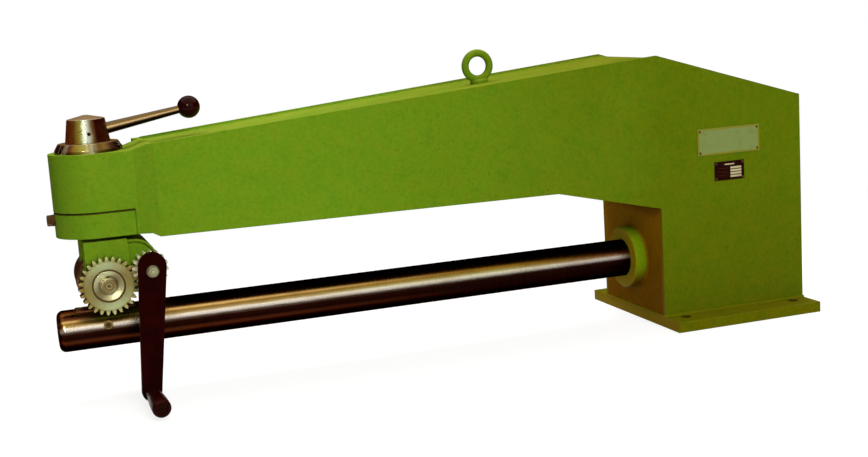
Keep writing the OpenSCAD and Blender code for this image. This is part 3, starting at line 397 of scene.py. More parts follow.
def mandrel_material():
    """Ground bar with painted reflections: bright and golden stripes on its flanks, dark brown on top and
    underneath, and rust streaks near the roller.
    """
    k = Look("mandrel_steel", 1.0)
    x, y, z = k.xyz(k.where)
    angle = k.math("ARCTAN2", k.math("SUBTRACT", z, MANDREL_Z * MM), k.math("ABSOLUTE", y))
    marks = k.noise(30.0, 3.0, 0.6, k.mapped(scale=(1.2, 60.0, 60.0)))
    turned = k.noise(700.0, 2.0, 0.6, k.mapped(scale=(1.0, 0.02, 0.02)))
    quarter = 1.5708
    # Painted reflections round the bar, alike on both flanks: 0 is the underside and 1 the top
    at = k.span(k.drift(angle, marks, 0.05, 0.2, 0.8), -quarter, quarter, 0.0, 1.0)
    tip = k.ramp(at, [
        (0.00, (0.006, 0.001, 0.0005)), (0.31, (0.008, 0.001, 0.0005)), (0.365, (0.075, 0.016, 0.005)),
        (0.42, (0.008, 0.001, 0.0005)), (0.50, (0.016, 0.003, 0.001)), (0.53, (0.10, 0.06, 0.04)),
        (0.562, (0.50, 0.46, 0.42)), (0.592, (0.64, 0.58, 0.48)), (0.619, (0.30, 0.21, 0.08)),
        (0.660, (0.18, 0.10, 0.015)), (0.697, (0.66, 0.41, 0.14)), (0.731, (0.11, 0.03, 0.004)),
        (0.765, (0.016, 0.002, 0.0005)), (1.0, (0.010, 0.002, 0.001)),
    ])
    root = k.ramp(at, [
        (0.00, (0.006, 0.001, 0.0005)), (0.42, (0.007, 0.001, 0.0005)), (0.505, (0.010, 0.002, 0.001)),
        (0.525, (0.03, 0.014, 0.009)), (0.556, (0.32, 0.30, 0.25)), (0.592, (0.52, 0.51, 0.38)),
        (0.628, (0.28, 0.24, 0.07)), (0.665, (0.21, 0.12, 0.012)), (0.700, (0.27, 0.12, 0.012)),
        (0.738, (0.07, 0.018, 0.002)), (0.780, (0.012, 0.001, 0.0005)), (1.0, (0.008, 0.001, 0.0005)),
    ])
    end = k.ramp(at, [
        (0.00, (0.006, 0.001, 0.0005)), (0.42, (0.007, 0.001, 0.0005)), (0.505, (0.010, 0.002, 0.001)),
        (0.530, (0.03, 0.010, 0.010)), (0.558, (0.34, 0.30, 0.30)), (0.590, (0.50, 0.48, 0.42)),
        (0.618, (0.26, 0.13, 0.07)), (0.655, (0.12, 0.030, 0.007)), (0.700, (0.05, 0.008, 0.002)),
        (0.740, (0.012, 0.001, 0.0005)), (1.0, (0.008, 0.001, 0.0005)),
    ])
    # The painted reflections change from the head's end through the middle to the column's end
    film_and_reflections = k.mix(k.span(x, -1.0, -0.5, 0.0, 1.0), tip, root)
    film_and_reflections = k.mix(k.span(x, -0.45, -0.20, 0.0, 1.0), film_and_reflections, end)
    streak = k.noise(1.0, 3.0, 0.7, k.mapped(scale=(5.0, 320.0, 320.0)))
    near_roller = k.times(k.span(x, -1.14, -1.08, 1.0, 0.0), k.span(at, 0.70, 0.76, 0.0, 1.0))
    rusty = k.ramp(streak, [
        (0.35, (0.03, 0.008, 0.003)), (0.5, (0.12, 0.035, 0.012)), (0.62, (0.36, 0.17, 0.06))])
    film_and_reflections = k.mix(near_roller, film_and_reflections, rusty)
    cloud = k.noise(22.0, 5.0, 0.7, k.mapped(scale=(0.35, 1.0, 1.0)), 0.6)
    base = k.mix(k.span(cloud, 0.5, 0.85, 0.0, 0.6), film_and_reflections, k.tint(film_and_reflections, (0.55, 0.38, 0.26)))
    base = k.mix(k.span(turned, 0.4, 0.7, 0.0, 0.06), base, (0.05, 0.025, 0.015))
    rim, normal = k.edge(0.0008)
    base = k.mix(k.times(rim, 0.25), base, (0.45, 0.34, 0.18))
    shine = k.plus(k.span(cloud, 0.3, 0.8, 0.18, 0.30), k.span(turned, 0.3, 0.7, 0.0, 0.05))
    k.set(Base_Color=base, Roughness=shine, Normal=k.bump(turned, 0.0000015, normal),
          Specular_Tint=(0.25, 0.10, 0.06))
    return k.mat


def black_enamel(name, colour, rough, edge_colour, gloss, spread=0.14):
    """Black paint or moulded plastic with a brown cast, fine scratches and rubbed edges."""
    k = Look(name)
    cloud = k.noise(26.0, 4.0, 0.6)
    base = k.mix(k.span(cloud, 0.35, 0.7, 0.0, 1.0), colour, scaled(colour, 2.2, 1.6, 1.6))
    rim, normal = k.edge(0.0012)
    rub = k.times(rim, k.span(k.noise(90.0, 4.0, 0.7), 0.45, 0.62, 0.0, 0.5))
    base = k.mix(rub, base, edge_colour)
    scratch = k.above(k.noise(60.0, 3.0, 0.7, k.mapped(scale=(6.0, 1.0, 0.6))), 0.72)
    base = k.mix(k.times(scratch, 0.2), base, (0.06, 0.02, 0.012))
    k.set(Base_Color=base, Roughness=k.span(cloud, 0.3, 0.7, rough - spread / 3, rough + spread),
          Normal=k.bump(k.noise(380.0, 2.0), 0.00006, normal),
          Specular_IOR_Level=gloss, Specular_Tint=(1.0, 0.62, 0.5))
    return k.mat


def plate_material(name, colour, dirt, rough=0.5, metal=0.0, edge=None, gloss=0.15):
    """Brushed tag plate with grime gathered towards its edges."""
    k = Look(name, metal)
    brush = k.noise(40.0, 2.0, 0.6, k.mapped(scale=(1.0, 1.0, 45.0)))
    grime = k.noise(60.0, 4.0, 0.65)
    base = k.mix(k.span(brush, 0.3, 0.7, 0.0, 0.35), colour, scaled(colour, 0.75))
    base = k.mix(k.span(grime, 0.5, 0.78, 0.0, 0.5), base, dirt)
    rim, normal = k.edge(0.0006)
    base = k.mix(k.times(rim, 0.5), base, edge or dirt)
    k.set(Base_Color=base, Roughness=k.span(grime, 0.3, 0.7, rough - 0.08, rough + 0.12),
          Normal=k.bump(brush, 0.00001, normal), Specular_IOR_Level=gloss)
    return k.mat


# Green paint, with painted shade: browner towards the column, at its foot and on faces that look towards the
# head
GREEN = (0.134, 0.258, 0.008)
green_plate = paint("green_plate_paint", GREEN)
# Painted shade: the side plates and the base plate are browner on faces that look towards the head
green_side = paint("green_side_paint", GREEN, worn=0.35, gloss=0.045, west=(0.25, 0.13, 0.003))
green_cast = paint("green_cast_paint", GREEN, rough=0.42, cast=1.4)
# Painted shade in the groove of the seam under the cap
green_cap = paint("green_cap_paint", GREEN, rough=0.42, cast=1.4, groove_shade=(SEAM_Z - 2.9) * MM)
green_base = paint("green_base_paint", (0.166, 0.268, 0.008), worn=1.2, gloss=0.02,
                   west=(0.32, 0.21, 0.003), holes=(0.12225, 0.143))
# The column's front plate: painted shade makes it brown, painted light lifts it towards the top, and painted
# shadow darkens it just under the arm
green_throat = paint("green_throat_paint", (0.310, 0.190, 0.004), rough=0.65, gloss=0.015,
                     fades=[(0.11, 0.21, (0.32, 0.14, 0.0015)), (0.214, 0.235, (0.16, 0.050, 0.001))])
# The flange: painted shadow darkens its lower rim and painted shade browns its face
green_flange = paint("green_flange_paint", (0.220, 0.480, 0.016), cast=0.6, gloss=0.02,
                     fades=[(0.108, 0.080, (0.12, 0.050, 0.003))],
                     front=(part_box("mandrel_flange")[0].x, (0.36, 0.25, 0.008)))

# Rings on the gear's face: shaft end, nut, dish, groove, rim and teeth; the dark centre, the nut's dark ring,
# the groove and the teeth's roots are painted shade with some grime
gear_zones = (gear_at, [
    (0.0, 0.20), (0.0022, 0.20), (0.0030, (0.66, 0.58, 0.38)), (0.0050, (0.72, 0.63, 0.42)),
    (0.0060, (0.27, 0.20, 0.10)), (0.0074, (0.27, 0.20, 0.10)),
    (0.0084, (0.60, 0.51, 0.32)), (0.0096, (0.64, 0.55, 0.36)), (0.0102, (0.38, 0.30, 0.18)),
    (0.0112, (0.56, 0.48, 0.36)), (0.0180, (0.74, 0.71, 0.68)), (0.0258, (0.82, 0.77, 0.70)),
    (0.0264, (0.26, 0.14, 0.06)), (0.0288, (0.26, 0.14, 0.06)), (0.0296, 0.62), (0.0400, 0.72),
    (0.0425, (0.52, 0.47, 0.38)), (0.0450, (0.72, 0.64, 0.50)), (0.0480, (0.86, 0.76, 0.60)),
    (0.0520, (1.0, 0.94, 0.84)),
])
# Painted highlights in lighter fan shapes, with darker painted shade between them, on the dish and on the rim
dish_fan = (125, (0.42, 0.30, 0.18), (1.55, 1.66, 2.00), 0.3, 0.0102, 0.0262)
rim_fan = (105, (0.70, 0.55, 0.32), (1.08, 1.17, 1.14), 0.0, 0.0294, 0.0530)
gear_look = steel("gear_steel", (0.54, 0.57, 0.30), 0.32, faced(gear_at, "Y"), depth=0.00002, stain=0.95,
                  film_and_reflections=(0.27, 0.19, 0.065), zones=gear_zones, fans=[dish_fan, rim_fan])
gear_nut_look = steel("gear_nut_steel", (0.50, 0.48, 0.28), 0.30, faced(gear_at, "Y", 0.0008),
                      depth=0.00002, stain=0.4, film_and_reflections=(0.18, 0.12, 0.05), zones=gear_zones, fans=[dish_fan])
# The pinion's steel is paler and less metallic than the gear's, as a painted highlight on its lit teeth
pinion_look = steel("pinion_steel", (0.80, 0.76, 0.52), 0.32, faced(pinion_at, "Y"), depth=0.00002,
                    film_and_reflections=(0.30, 0.18, 0.06), metal=0.25)

# Painted reflections and painted highlights round the head's axis: 0 and 1 are in front, 0.25 on the crank's
# side and 0.5 towards the column
hub_reflections = [
    (0.0, (0.9, 0.5, 0.3)), (0.093, (0.9, 0.5, 0.2)), (0.138, (0.70, 0.50, 0.10)),
    (0.176, (0.70, 0.82, 0.26)), (0.193, (0.50, 0.61, 0.38)), (0.213, (0.40, 0.43, 0.42)),
    (0.232, (0.46, 0.52, 0.53)), (0.244, (0.56, 0.63, 0.65)), (0.256, (0.46, 0.52, 0.56)),
    (0.268, (0.34, 0.30, 0.22)), (0.282, (0.17, 0.09, 0.04)), (0.31, (0.16, 0.038, 0.016)),
    (0.34, (0.34, 0.07, 0.045)), (0.40, (0.42, 0.10, 0.05)), (0.50, (0.55, 0.4, 0.3)),
    (0.75, (0.8, 0.7, 0.6)), (1.0, (0.9, 0.5, 0.3)),
]
ring_nut_reflections = [
    (0.0, (0.10, 0.05, 0.04)), (0.070, (0.10, 0.05, 0.04)), (0.084, (0.95, 1.0, 1.0)),
    (0.118, (0.90, 0.95, 0.95)), (0.134, (0.14, 0.07, 0.05)), (0.150, (0.24, 0.10, 0.04)),
    (0.164, (0.38, 0.27, 0.05)), (0.192, (0.42, 0.42, 0.09)), (0.218, (0.50, 0.50, 0.22)),
    (0.236, (0.72, 0.76, 0.56)), (0.256, (0.90, 0.95, 0.90)), (0.270, (0.36, 0.34, 0.22)),
    (0.290, (0.20, 0.13, 0.04)), (0.318, (0.30, 0.21, 0.06)), (0.340, (0.20, 0.11, 0.04)),
    (0.358, (0.09, 0.02, 0.01)), (0.47, (0.08, 0.018, 0.008)), (0.60, (0.35, 0.28, 0.2)),
    (0.80, (0.55, 0.5, 0.4)), (1.0, (0.10, 0.05, 0.04)),
]
hub_look = steel("hub_steel", (0.64, 0.62, 0.50), 0.22, along(z=90.0, scale=30.0), depth=0.0000015,
                 stain=0.4, film_and_reflections=(0.30, 0.18, 0.07), around=hub_reflections)
nut_look = steel("ring_nut_steel", (0.62, 0.54, 0.34), 0.20, faced(head_at, "Z"), stain=0.6,
                 film_and_reflections=(0.30, 0.17, 0.05), rim_lift=0.6, around=ring_nut_reflections)

# Painted reflections on the rod, from its dark underside through a bright stripe to its top
rod_reflections = [
    (0.0, (0.03, 0.01, 0.004)), (0.30, (0.03, 0.01, 0.003)), (0.40, (0.08, 0.05, 0.03)),
    (0.46, (0.24, 0.20, 0.15)), (0.53, (0.72, 0.66, 0.54)), (0.60, (0.78, 0.68, 0.48)),
    (0.66, (0.42, 0.33, 0.17)), (0.78, (0.20, 0.16, 0.08)), (0.92, (0.24, 0.22, 0.17)),
    (1.0, (0.35, 0.3, 0.25)),
]
rod_look = steel("rod_steel", (0.66, 0.52, 0.32), 0.18, along(1.5, 260.0, 260.0), depth=0.000003,
                 stain=0.2, film_and_reflections=(0.34, 0.20, 0.08), height_reflections=rod_reflections)

# Turned ends of the axle and the crank bolt
axle_zones = (axle_at, [
    (0.0, 0.05), (0.0020, 0.10), (0.0034, 0.42), (0.0042, 0.12), (0.0056, 0.30), (0.0066, 1.0),
    (0.0074, 0.9), (0.0078, 0.05), (0.0085, 0.03),
])
crank_bolt_zones = (pinion_at, [
    (0.0, 1.0), (0.0022, 1.0), (0.0030, 0.45), (0.0042, 0.62), (0.0066, 0.78),
    (0.0074, 0.34), (0.0086, 0.52), (0.0100, 0.40), (0.0108, 0.12), (0.0125, 0.10),
])
axle_look = steel("axle_steel", (0.42, 0.27, 0.08), 0.34, faced(axle_at, "Y", 0.0006), stain=0.4,
                  film_and_reflections=(0.16, 0.07, 0.02), rim_lift=0.4, zones=axle_zones)
crank_bolt_look = steel("crank_bolt_steel", (0.50, 0.50, 0.28), 0.30, along(scale=170.0), depth=0.00004,
                        stain=0.8, film_and_reflections=(0.16, 0.13, 0.04), rim_lift=0.4, zones=crank_bolt_zones)

# Other metals
bright_look = steel("bright_steel", (0.50, 0.44, 0.30), 0.24, along(y=50.0, z=50.0, scale=20.0),
                    depth=0.000006, stain=0.35)
roller_look = steel("roller_steel", (0.16, 0.09, 0.04), 0.28, faced(gear_at, "Y", 0.0015), depth=0.00002,
                    stain=0.6, film_and_reflections=(0.04, 0.012, 0.004))
bolt_look = steel("bolt_steel", (0.40, 0.38, 0.19), 0.32, along(scale=150.0), depth=0.00006, stain=0.9,
                  film_and_reflections=(0.10, 0.055, 0.015), rim_lift=0.7)
rivet_look = steel("rivet_steel", (0.10, 0.05, 0.02), 0.36, along(scale=150.0), stain=0.6,
                   film_and_reflections=(0.05, 0.02, 0.006))
# The guide screw's edges are lifted far, as a painted highlight
guide_look = steel("guide_screw_steel", (0.085, 0.040, 0.014), 0.26, along(scale=80.0), stain=0.7,
                   film_and_reflections=(0.03, 0.010, 0.004), rim_lift=5.0)
dark_look = steel("blackened_steel", (0.050, 0.026, 0.016), 0.38, along(scale=90.0), depth=0.000008,
                  stain=0.4, film_and_reflections=(0.03, 0.010, 0.004), rim_lift=0.9)
spindle_look = steel("spindle_steel", (0.014, 0.004, 0.003), 0.34, along(scale=90.0), depth=0.000008,
                     stain=0.4, film_and_reflections=(0.02, 0.006, 0.003), rim_lift=2.0)
insert_look = steel("insert_steel", (0.13, 0.045, 0.018), 0.28, along(y=60.0, scale=30.0), stain=0.7,
                    film_and_reflections=(0.28, 0.10, 0.035), rim_lift=2.5)
bronze_look = steel("bronze", (0.42, 0.22, 0.07), 0.34, faced(gear_at, "Y", 0.0009),
                    film_and_reflections=(0.10, 0.05, 0.02))
mandrel_look = mandrel_material()

# Black paint, plastic and tag plates
crank_look = black_enamel("crank_enamel", (0.0080, 0.0003, 0.0002), 0.42, (0.06, 0.025, 0.015), 0.02)
knob_look = black_enamel("knob_plastic", (0.0090, 0.0003, 0.0002), 0.07, (0.03, 0.012, 0.008), 0.11,
                         spread=0.03)
grip_look = black_enamel("grip_plastic", (0.0100, 0.0005, 0.0003), 0.28, (0.024, 0.007, 0.004), 0.06)
name_look = plate_material("name_plate_metal", (0.190, 0.248, 0.072), (0.12, 0.15, 0.015), rough=0.45,
                           metal=0.2)
data_look = plate_material("data_plate_metal", (0.014, 0.002, 0.001), (0.028, 0.006, 0.002),
                           edge=(0.22, 0.12, 0.03), gloss=0.02)
field_look = plate_material("data_field", (0.50, 0.44, 0.25), (0.28, 0.20, 0.08), gloss=0.05)
faint_look = plate_material("data_line", (0.050, 0.010, 0.004), (0.03, 0.006, 0.002), gloss=0.02)
border_look = plate_material("plate_border", (0.24, 0.21, 0.008), (0.15, 0.12, 0.008), gloss=0.03)

looks = {
    green_side: ["column_side_near", "column_side_far", "arm_side_near", "arm_side_far"],
    green_plate: ["column_back_plate", "column_top_plate", "arm_top_plate", "arm_bottom_plate",
                  "throat_plate", "mandrel_rear_socket", "eyebolt_boss"],
    green_throat: ["column_front_plate"],
    green_base: ["base_plate"],
    green_cast: ["head_casting", "roller_holder", "lifting_eyebolt"],
    green_cap: ["quill_cap"],
    green_flange: ["mandrel_flange"],
    mandrel_look: ["mandrel"],
    gear_look: ["drive_gear"],
    gear_nut_look: ["gear_nut", "roller_shaft"],
    pinion_look: ["pinion"],
    hub_look: ["lever_hub"],
    nut_look: ["ring_nut"],
    rod_look: ["lever_rod"],
    bright_look: ["quill", "counter_roller", "crank_shaft", "feed_screw"],
    spindle_look: ["grip_spindle"],
    axle_look: ["counter_roller_axle"],
    roller_look: ["pressure_roller"],
    bolt_look: ["clamp_bolt", "clamp_washer", "insert_screws"],
    crank_bolt_look: ["crank_bolt", "crank_washer"],
    guide_look: ["quill_guide_screw", "guide_lock_nut"],
    rivet_look: ["plate_rivets"],
    dark_look: ["cap_screws", "lever_set_screw", "quill_bolt", "roller_key", "gear_key", "pinion_key",
                "shaft_collar", "crank_collar"],
    insert_look: ["mandrel_insert"],
    bronze_look: ["roller_bush_near", "roller_bush_far", "crank_bush_near", "crank_bush_far", "counter_bush"],
    crank_look: ["crank_arm"],
    knob_look: ["lever_knob"],
    grip_look: ["crank_grip"],
    name_look: ["name_plate"],
    data_look: ["data_plate"],
}
dressed = set()
for look, names in looks.items():
    for name in names:
        nodes[name].data.materials.clear()
        nodes[name].data.materials.append(look)
        dressed.add(name)
assert dressed == set(nodes), sorted(set(nodes) ^ dressed)


# Added pieces
def piece(name, mesh_maker, look, body, smooth=True):
    bm = bmesh.new()
    mesh_maker(bm)
    bmesh.ops.recalc_face_normals(bm, faces=bm.faces)
    mesh = bpy.data.meshes.new(name)
    bm.to_mesh(mesh)
    bm.free()
    mesh.materials.append(look)
    if smooth:
        mesh.polygons.foreach_set("use_smooth", [True] * len(mesh.polygons))
    obj = bpy.data.objects.new(name, mesh)
    scene.collection.objects.link(obj)
    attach(obj, body)


def bead(bm, path, radius, closed=False, pitch=2.6, sides=7, step=1.3):
    """A weld bead along a line in millimetres: a rippled tube, half sunk in the corner it fills.

    Each straight stretch of the line is a closed tube of its own."""
    points = [Vector(p) for p in path]
    if closed:
        points.append(points[0])
    turns = [2 * math.pi * j / sides for j in range(sides)]
    done = 0.0
    for a, b in zip(points, points[1:]):
        length = (b - a).length
        steps = max(2, int(length / step))
        ahead = (b - a).normalized()
        side = ahead.orthogonal().normalized()
        lift = ahead.cross(side)
        rings = []
        for i in range(steps + 1):
            s = done + length * i / steps
            wobble = 1.0 + 0.10 * math.sin(2 * math.pi * s / pitch) + 0.07 * math.sin(s * 0.37 + 1.3)
            c = a + ahead * (length * i / steps)
            rings.append([bm.verts.new((c + (side * math.cos(q) + lift * math.sin(q)) * radius * wobble) * MM)
                          for q in turns])
        done += length
        for low, high in zip(rings, rings[1:]):
            for j in range(sides):
                after = (j + 1) % sides
                bm.faces.new((low[j], low[after], high[after], high[j]))
        bm.faces.new(rings[0])
        bm.faces.new(rings[-1])


def column_welds(bm):
    out = 0.8
    x, y, z = COL_X + out, COL_Y + out, BASE_T + out
    bead(bm, [(-x, -y, z), (x, -y, z), (x, y, z), (-x, y, z)], radius=2.7, closed=True)


def flange_weld(bm):
    out, n = 0.6, 48
    x, r = -COL_X - out, FLANGE_R + out
    turns = [2 * math.pi * i / n for i in range(n)]
    ring = [(x, r * math.cos(t), MANDREL_Z + r * math.sin(t)) for t in turns]
    bead(bm, ring, radius=2.4, closed=True)


def along_arm(x, at_column, at_end):
    """A size of the tapered arm at x."""
    return at_column - (-COL_X - x) * (at_column - at_end) / ARM_LEN


def arm_seam_y(x, inset):
    """Half the distance between the arm's two seams at x."""
    return along_arm(x, COL_Y, ARM_END_Y) - PLATE_T - inset


def top_welds(bm):
    inset = 0.3
    arm_xs = (-COL_X - 1, -400, -700, ARM_END_X + 2)
    column_xs = (-COL_X + 1, COL_X - PLATE_T)
    rise = inset - RECESS
    for side in (-1, 1):
        on_arm = [(x, side * arm_seam_y(x, inset), along_arm(x, PEAK_Z, ARM_END_Z) + rise) for x in arm_xs]
        on_column = [(x, side * (COL_Y - PLATE_T - inset), PEAK_Z - (x + COL_X) * BACK_FALL + rise)
                     for x in column_xs]
        bead(bm, on_arm, radius=1.7)
        bead(bm, on_column, radius=1.7)


def under_welds(bm):
    inset = 0.2
    throat_x, seam_z = throat_low[0], ARM_UNDER_Z - 0.3
    arm_xs = (ARM_END_X + 6, -800, throat_x - 2)
    for side in (-1, 1):
        level = [(x, side * arm_seam_y(x, inset), seam_z) for x in arm_xs]
        slope = [(throat_x - 1, side * arm_seam_y(throat_x, inset), seam_z),
                 (-COL_X - 2, side * (COL_Y - PLATE_T - 0.3), throat_low[2] + inset)]
        bead(bm, level, radius=1.6)
        bead(bm, slope, radius=1.6)


piece("weld_column_foot", column_welds, green_base, "frame")
# The flange's weld takes the front plate's paint, with its painted shade
piece("weld_mandrel_flange", flange_weld, green_throat, "frame")
piece("weld_top_seams", top_welds, green_plate, "frame")
piece("weld_under_seams", under_welds, green_plate, "frame")


# Plain fields on the tag plates, with no lettering
def bar(bm, plate, x0, x1, z0, z1, proud, corner):
    """A thin bar with round corners on a tag plate's near face, in millimetres."""
    face_y = box_mm(plate)[0][1]
    n = 4
    outline = []
    for cx, cz, start in ((x1 - corner, z1 - corner, 0), (x0 + corner, z1 - corner, 90),
                          (x0 + corner, z0 + corner, 180), (x1 - corner, z0 + corner, 270)):
        for i in range(n + 1):
            a = math.radians(start + 90 * i / n)
            outline.append((cx + corner * math.cos(a), cz + corner * math.sin(a)))
    back = [bm.verts.new((x * MM, (face_y + 0.2) * MM, z * MM)) for x, z in outline]
    front = [bm.verts.new((x * MM, (face_y - proud) * MM, z * MM)) for x, z in outline]
    bm.faces.new(front)
    bm.faces.new(back[::-1])
    for i in range(len(outline)):
        j = (i + 1) % len(outline)
        bm.faces.new((back[i], back[j], front[j], front[i]))


def name_border(bm):
    """A plain frame of four bars along the name plate's edges."""
    edge, band = 0.75, 2.4
    (x0, _, z0), (x1, _, z1) = box_mm("name_plate")
    x0, x1, z0, z1 = x0 + edge, x1 - edge, z0 + edge, z1 - edge
    for sides in ((x0, x1, z1 - band, z1), (x0, x1, z0, z0 + band),
                  (x0, x0 + band, z0 + band, z1 - band), (x1 - band, x1, z0 + band, z1 - band)):
        bar(bm, "name_plate", *sides, proud=0.35, corner=0.3)


def data_fields(bm):
    """Four light bars in a column, and one above them as a heading."""
    x, _, _ = middle_mm("data_plate")
    top = box_mm("data_plate")[1][2]
    pitch, height, half_heading = 5.6, 3.9, 11.0
    for i in range(4):
        z = top - 11.5 - i * pitch
        bar(bm, "data_plate", x + 2.0, x + 26.5, z - height, z, proud=0.25, corner=0.4)
    bar(bm, "data_plate", x - half_heading, x + half_heading, top - 7.3, top - 4.9, proud=0.25, corner=0.4)


def data_lines(bm):
    """Three faint lines beside the light bars, each shorter than the one above."""
    x, _, _ = middle_mm("data_plate")
    top = box_mm("data_plate")[1][2]
    pitch, height, shorter = 7.0, 1.4, 3.0
    for i in range(3):
        z = top - 13.0 - i * pitch
        bar(bm, "data_plate", x - 25.0, x - 3.0 - i * shorter, z - height, z, proud=0.2, corner=0.3)


piece("name_plate_border", name_border, border_look, "frame", smooth=False)
piece("data_plate_fields", data_fields, field_look, "frame", smooth=False)
piece("data_plate_lines", data_lines, faint_look, "frame", smooth=False)


# Floor, backdrop and light
STUDIO_X = -0.55
CEILING_Z = 4.6
WARM_WHITE = (1.0, 0.97, 0.90)
CLOTH = (0.02, 0.01, 0.005)
PAPER = (0.8, 0.8, 0.8)
WINE = (1.0, 0.20, 0.045)
LIGHT_WINE = (1.0, 0.27, 0.06)
GOLD = (1.0, 0.60, 0.20)


def add_node(tree, kind, **values):
    """A new node with some inputs set; a name has _ for each space of the input's name."""
    node = tree.nodes.new("ShaderNode" + kind)
    for key, value in values.items():
        node.inputs[key.replace("_", " ")].default_value = value
    return node


def mixed(tree, share, a, b):
    """A mix of two shaders, all a at share 0 and all b at share 1."""
    node = add_node(tree, "MixShader")
    for source, socket in zip((share, a.outputs[0], b.outputs[0]), node.inputs):
        tree.links.new(source, socket)
    return node


def seen_directly(tree):
    """1 for camera, glossy and transmission rays."""
    path = add_node(tree, "LightPath")
    seen = path.outputs["Is Camera Ray"]
    for ray in ("Is Glossy Ray", "Is Transmission Ray"):
        either = add_node(tree, "Math")
        either.operation = "MAXIMUM"
        tree.links.new(seen, either.inputs[0])
        tree.links.new(path.outputs[ray], either.inputs[1])
        seen = either.outputs[0]
    return seen


def stage_mesh(name, verts, faces, mat):
    mesh = bpy.data.meshes.new(name)
    mesh.from_pydata(verts, [], faces)
    mesh.materials.append(mat)
    obj = bpy.data.objects.new(name, mesh)
    scene.collection.objects.link(obj)
    return obj


def floor_material():
    """Paper that glows a little near the machine and runs out to plain white."""
    mat = bpy.data.materials.new("floor_paper")
    mat.use_nodes = True
    t = mat.node_tree
    t.nodes.clear()
    soft = add_node(t, "BsdfDiffuse", Color=(0.42, 0.42, 0.42, 1))
    pale = add_node(t, "BsdfDiffuse", Color=(0.30, 0.30, 0.30, 1))
    glow = add_node(t, "Emission", Strength=0.80)
    both = add_node(t, "AddShader")
    t.links.new(pale.outputs[0], both.inputs[0])
    t.links.new(glow.outputs[0], both.inputs[1])
    white = add_node(t, "Emission", Strength=1.0)
    flat = add_node(t, "Mapping", Location=(0.275, 0.0, 0.0), Scale=(0.5, 1.0, 0.0))
    t.links.new(add_node(t, "TexCoord").outputs["Object"], flat.inputs["Vector"])
    away = add_node(t, "VectorMath")
    away.operation = "LENGTH"
    t.links.new(flat.outputs[0], away.inputs[0])
    fade = add_node(t, "MapRange", From_Min=0.45, From_Max=1.5)
    fade.interpolation_type = "SMOOTHSTEP"
    t.links.new(away.outputs["Value"], fade.inputs["Value"])
    seen = mixed(t, seen_directly(t), soft, mixed(t, fade.outputs[0], both, white))
    t.links.new(seen.outputs[0], add_node(t, "OutputMaterial").inputs["Surface"])
    return mat


def stage_floor():
    """White paper that keeps the machine's shadow near by."""
    s, z = 40.0, -0.0004
    corners = [(-s, -s, z), (s, -s, z), (s, s, z), (-s, s, z)]
    obj = stage_mesh("floor", corners, [(0, 1, 2, 3)], floor_material())


def stage_world():
    """White where it is seen, and a dimmer warm white as light."""
    world = bpy.data.worlds.new("studio")
    scene.world = world
    world.use_nodes = True
    t = world.node_tree
    t.nodes.clear()
    dim = add_node(t, "Background", Color=(1.0, 0.95, 0.88, 1), Strength=0.42)
    white = add_node(t, "Background", Color=(1, 1, 1, 1), Strength=1.0)
    seen = mixed(t, seen_directly(t), dim, white)
    t.links.new(seen.outputs[0], add_node(t, "OutputWorld").inputs["Surface"])


def stage_cloth(name, shape, colour, glow, shade=WARM_WHITE):
    """A studio flag or card that shows only in reflections."""
    mat = bpy.data.materials.new(name + "_cloth")
    mat.use_nodes = True
    shader = mat.node_tree.nodes["Principled BSDF"]
    shader.inputs["Base Color"].default_value = (*colour, 1)
    shader.inputs["Roughness"].default_value = 0.95
    shader.inputs["Specular IOR Level"].default_value = 0.0
    shader.inputs["Emission Color"].default_value = (*shade, 1)
    shader.inputs["Emission Strength"].default_value = glow
    obj = stage_mesh(name, *shape, mat)
    obj.visible_camera = False
    obj.visible_diffuse = False
    obj.visible_shadow = False
    obj.visible_transmission = False


def curtain(start, sweep, radius, low, high, n):
    """Part of a round wall about the studio's middle, with its angles in degrees."""
    verts = []
    for i in range(n + 1):
        a = math.radians(start + sweep * i / n)
        x, y = STUDIO_X + radius * math.cos(a), radius * math.sin(a)
        verts += [(x, y, low), (x, y, high)]
    return verts, [(2 * i, 2 * i + 2, 2 * i + 3, 2 * i + 1) for i in range(n)]


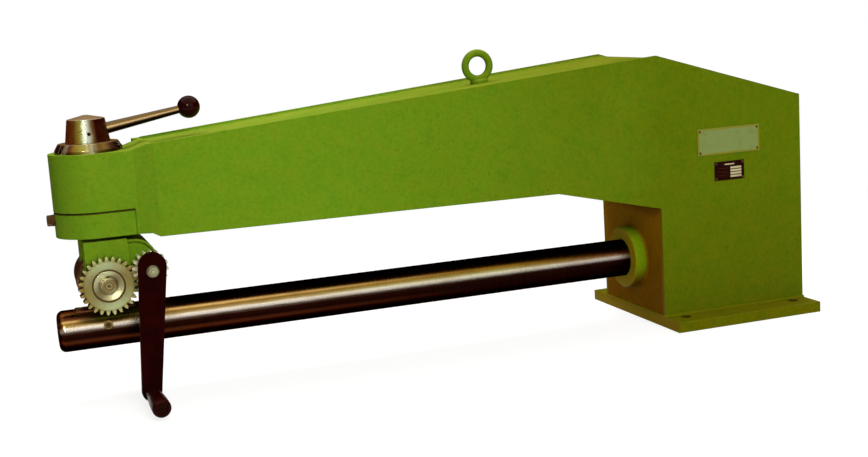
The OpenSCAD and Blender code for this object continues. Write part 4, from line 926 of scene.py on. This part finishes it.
def sheet(y0, y1, z):
    """A level sheet as long as the studio."""
    x0, x1 = -6.6, 5.5
    return [(x0, y0, z), (x1, y0, z), (x1, y1, z), (x0, y1, z)], [(0, 1, 2, 3)]


def disc(x, y, z, radius, n=12):
    """An upright round card that faces along y."""
    turns = [2 * math.pi * i / n for i in range(n)]
    return [(x + radius * math.cos(t), y, z + radius * math.sin(t)) for t in turns], [tuple(range(n))]


def stage_drape():
    """Dark curtains round the studio, and bright cards where the polished steel mirrors them."""
    stage_cloth("drape", curtain(0, 360, 6.0, 0.0, CEILING_Z, 48), CLOTH, 0.075, WINE)
    stage_cloth("card", curtain(-120, 64, 5.6, 0.4, 4.5, 16), PAPER, 1.0)
    stage_cloth("gold_card", curtain(-166, 45, 5.6, 0.5, 4.5, 10), CLOTH, 0.38, GOLD)
    stage_cloth("wine_card", curtain(-200, 33, 5.6, 0.5, 4.5, 8), CLOTH, 0.12, LIGHT_WINE)
    stage_cloth("ceiling", sheet(4.0, 6.0, CEILING_Z), CLOTH, 0.075, WINE)
    stage_cloth("ceiling_card", sheet(-6.0, 4.0, CEILING_Z), PAPER, 1.0)
    stage_cloth("floor_flag", sheet(0.26, 6.0, 0.003), CLOTH, 0.05, WINE)
    stage_cloth("spot_card", disc(-2.53, -3.56, 2.17, 0.62), PAPER, 28.0)


def lamp(name, at, aim, size, size_y, power, colour):
    """A soft lamp that lights the machine but doesn't show in its steel."""
    data = bpy.data.lights.new(name, "AREA")
    data.shape = "RECTANGLE"
    data.size = size
    data.size_y = size_y
    data.energy = power
    data.color = colour
    obj = bpy.data.objects.new(name, data)
    scene.collection.objects.link(obj)
    obj.location = at
    obj.rotation_mode = "QUATERNION"
    obj.rotation_quaternion = (Vector(aim) - Vector(at)).to_track_quat("-Z", "Y")
    obj.visible_glossy = False


stage_floor()
stage_world()
stage_drape()
lamp("key", at=(-0.3, -3.9, 2.5), aim=(-0.65, 0.0, 0.25), size=2.8, size_y=1.6, power=142.0,
     colour=(1.0, 0.99, 0.95))
lamp("top", at=(-0.4, 0.9, 3.1), aim=(-0.55, 0.0, 0.3), size=3.0, size_y=1.6, power=90.0,
     colour=(1.0, 0.97, 0.88))
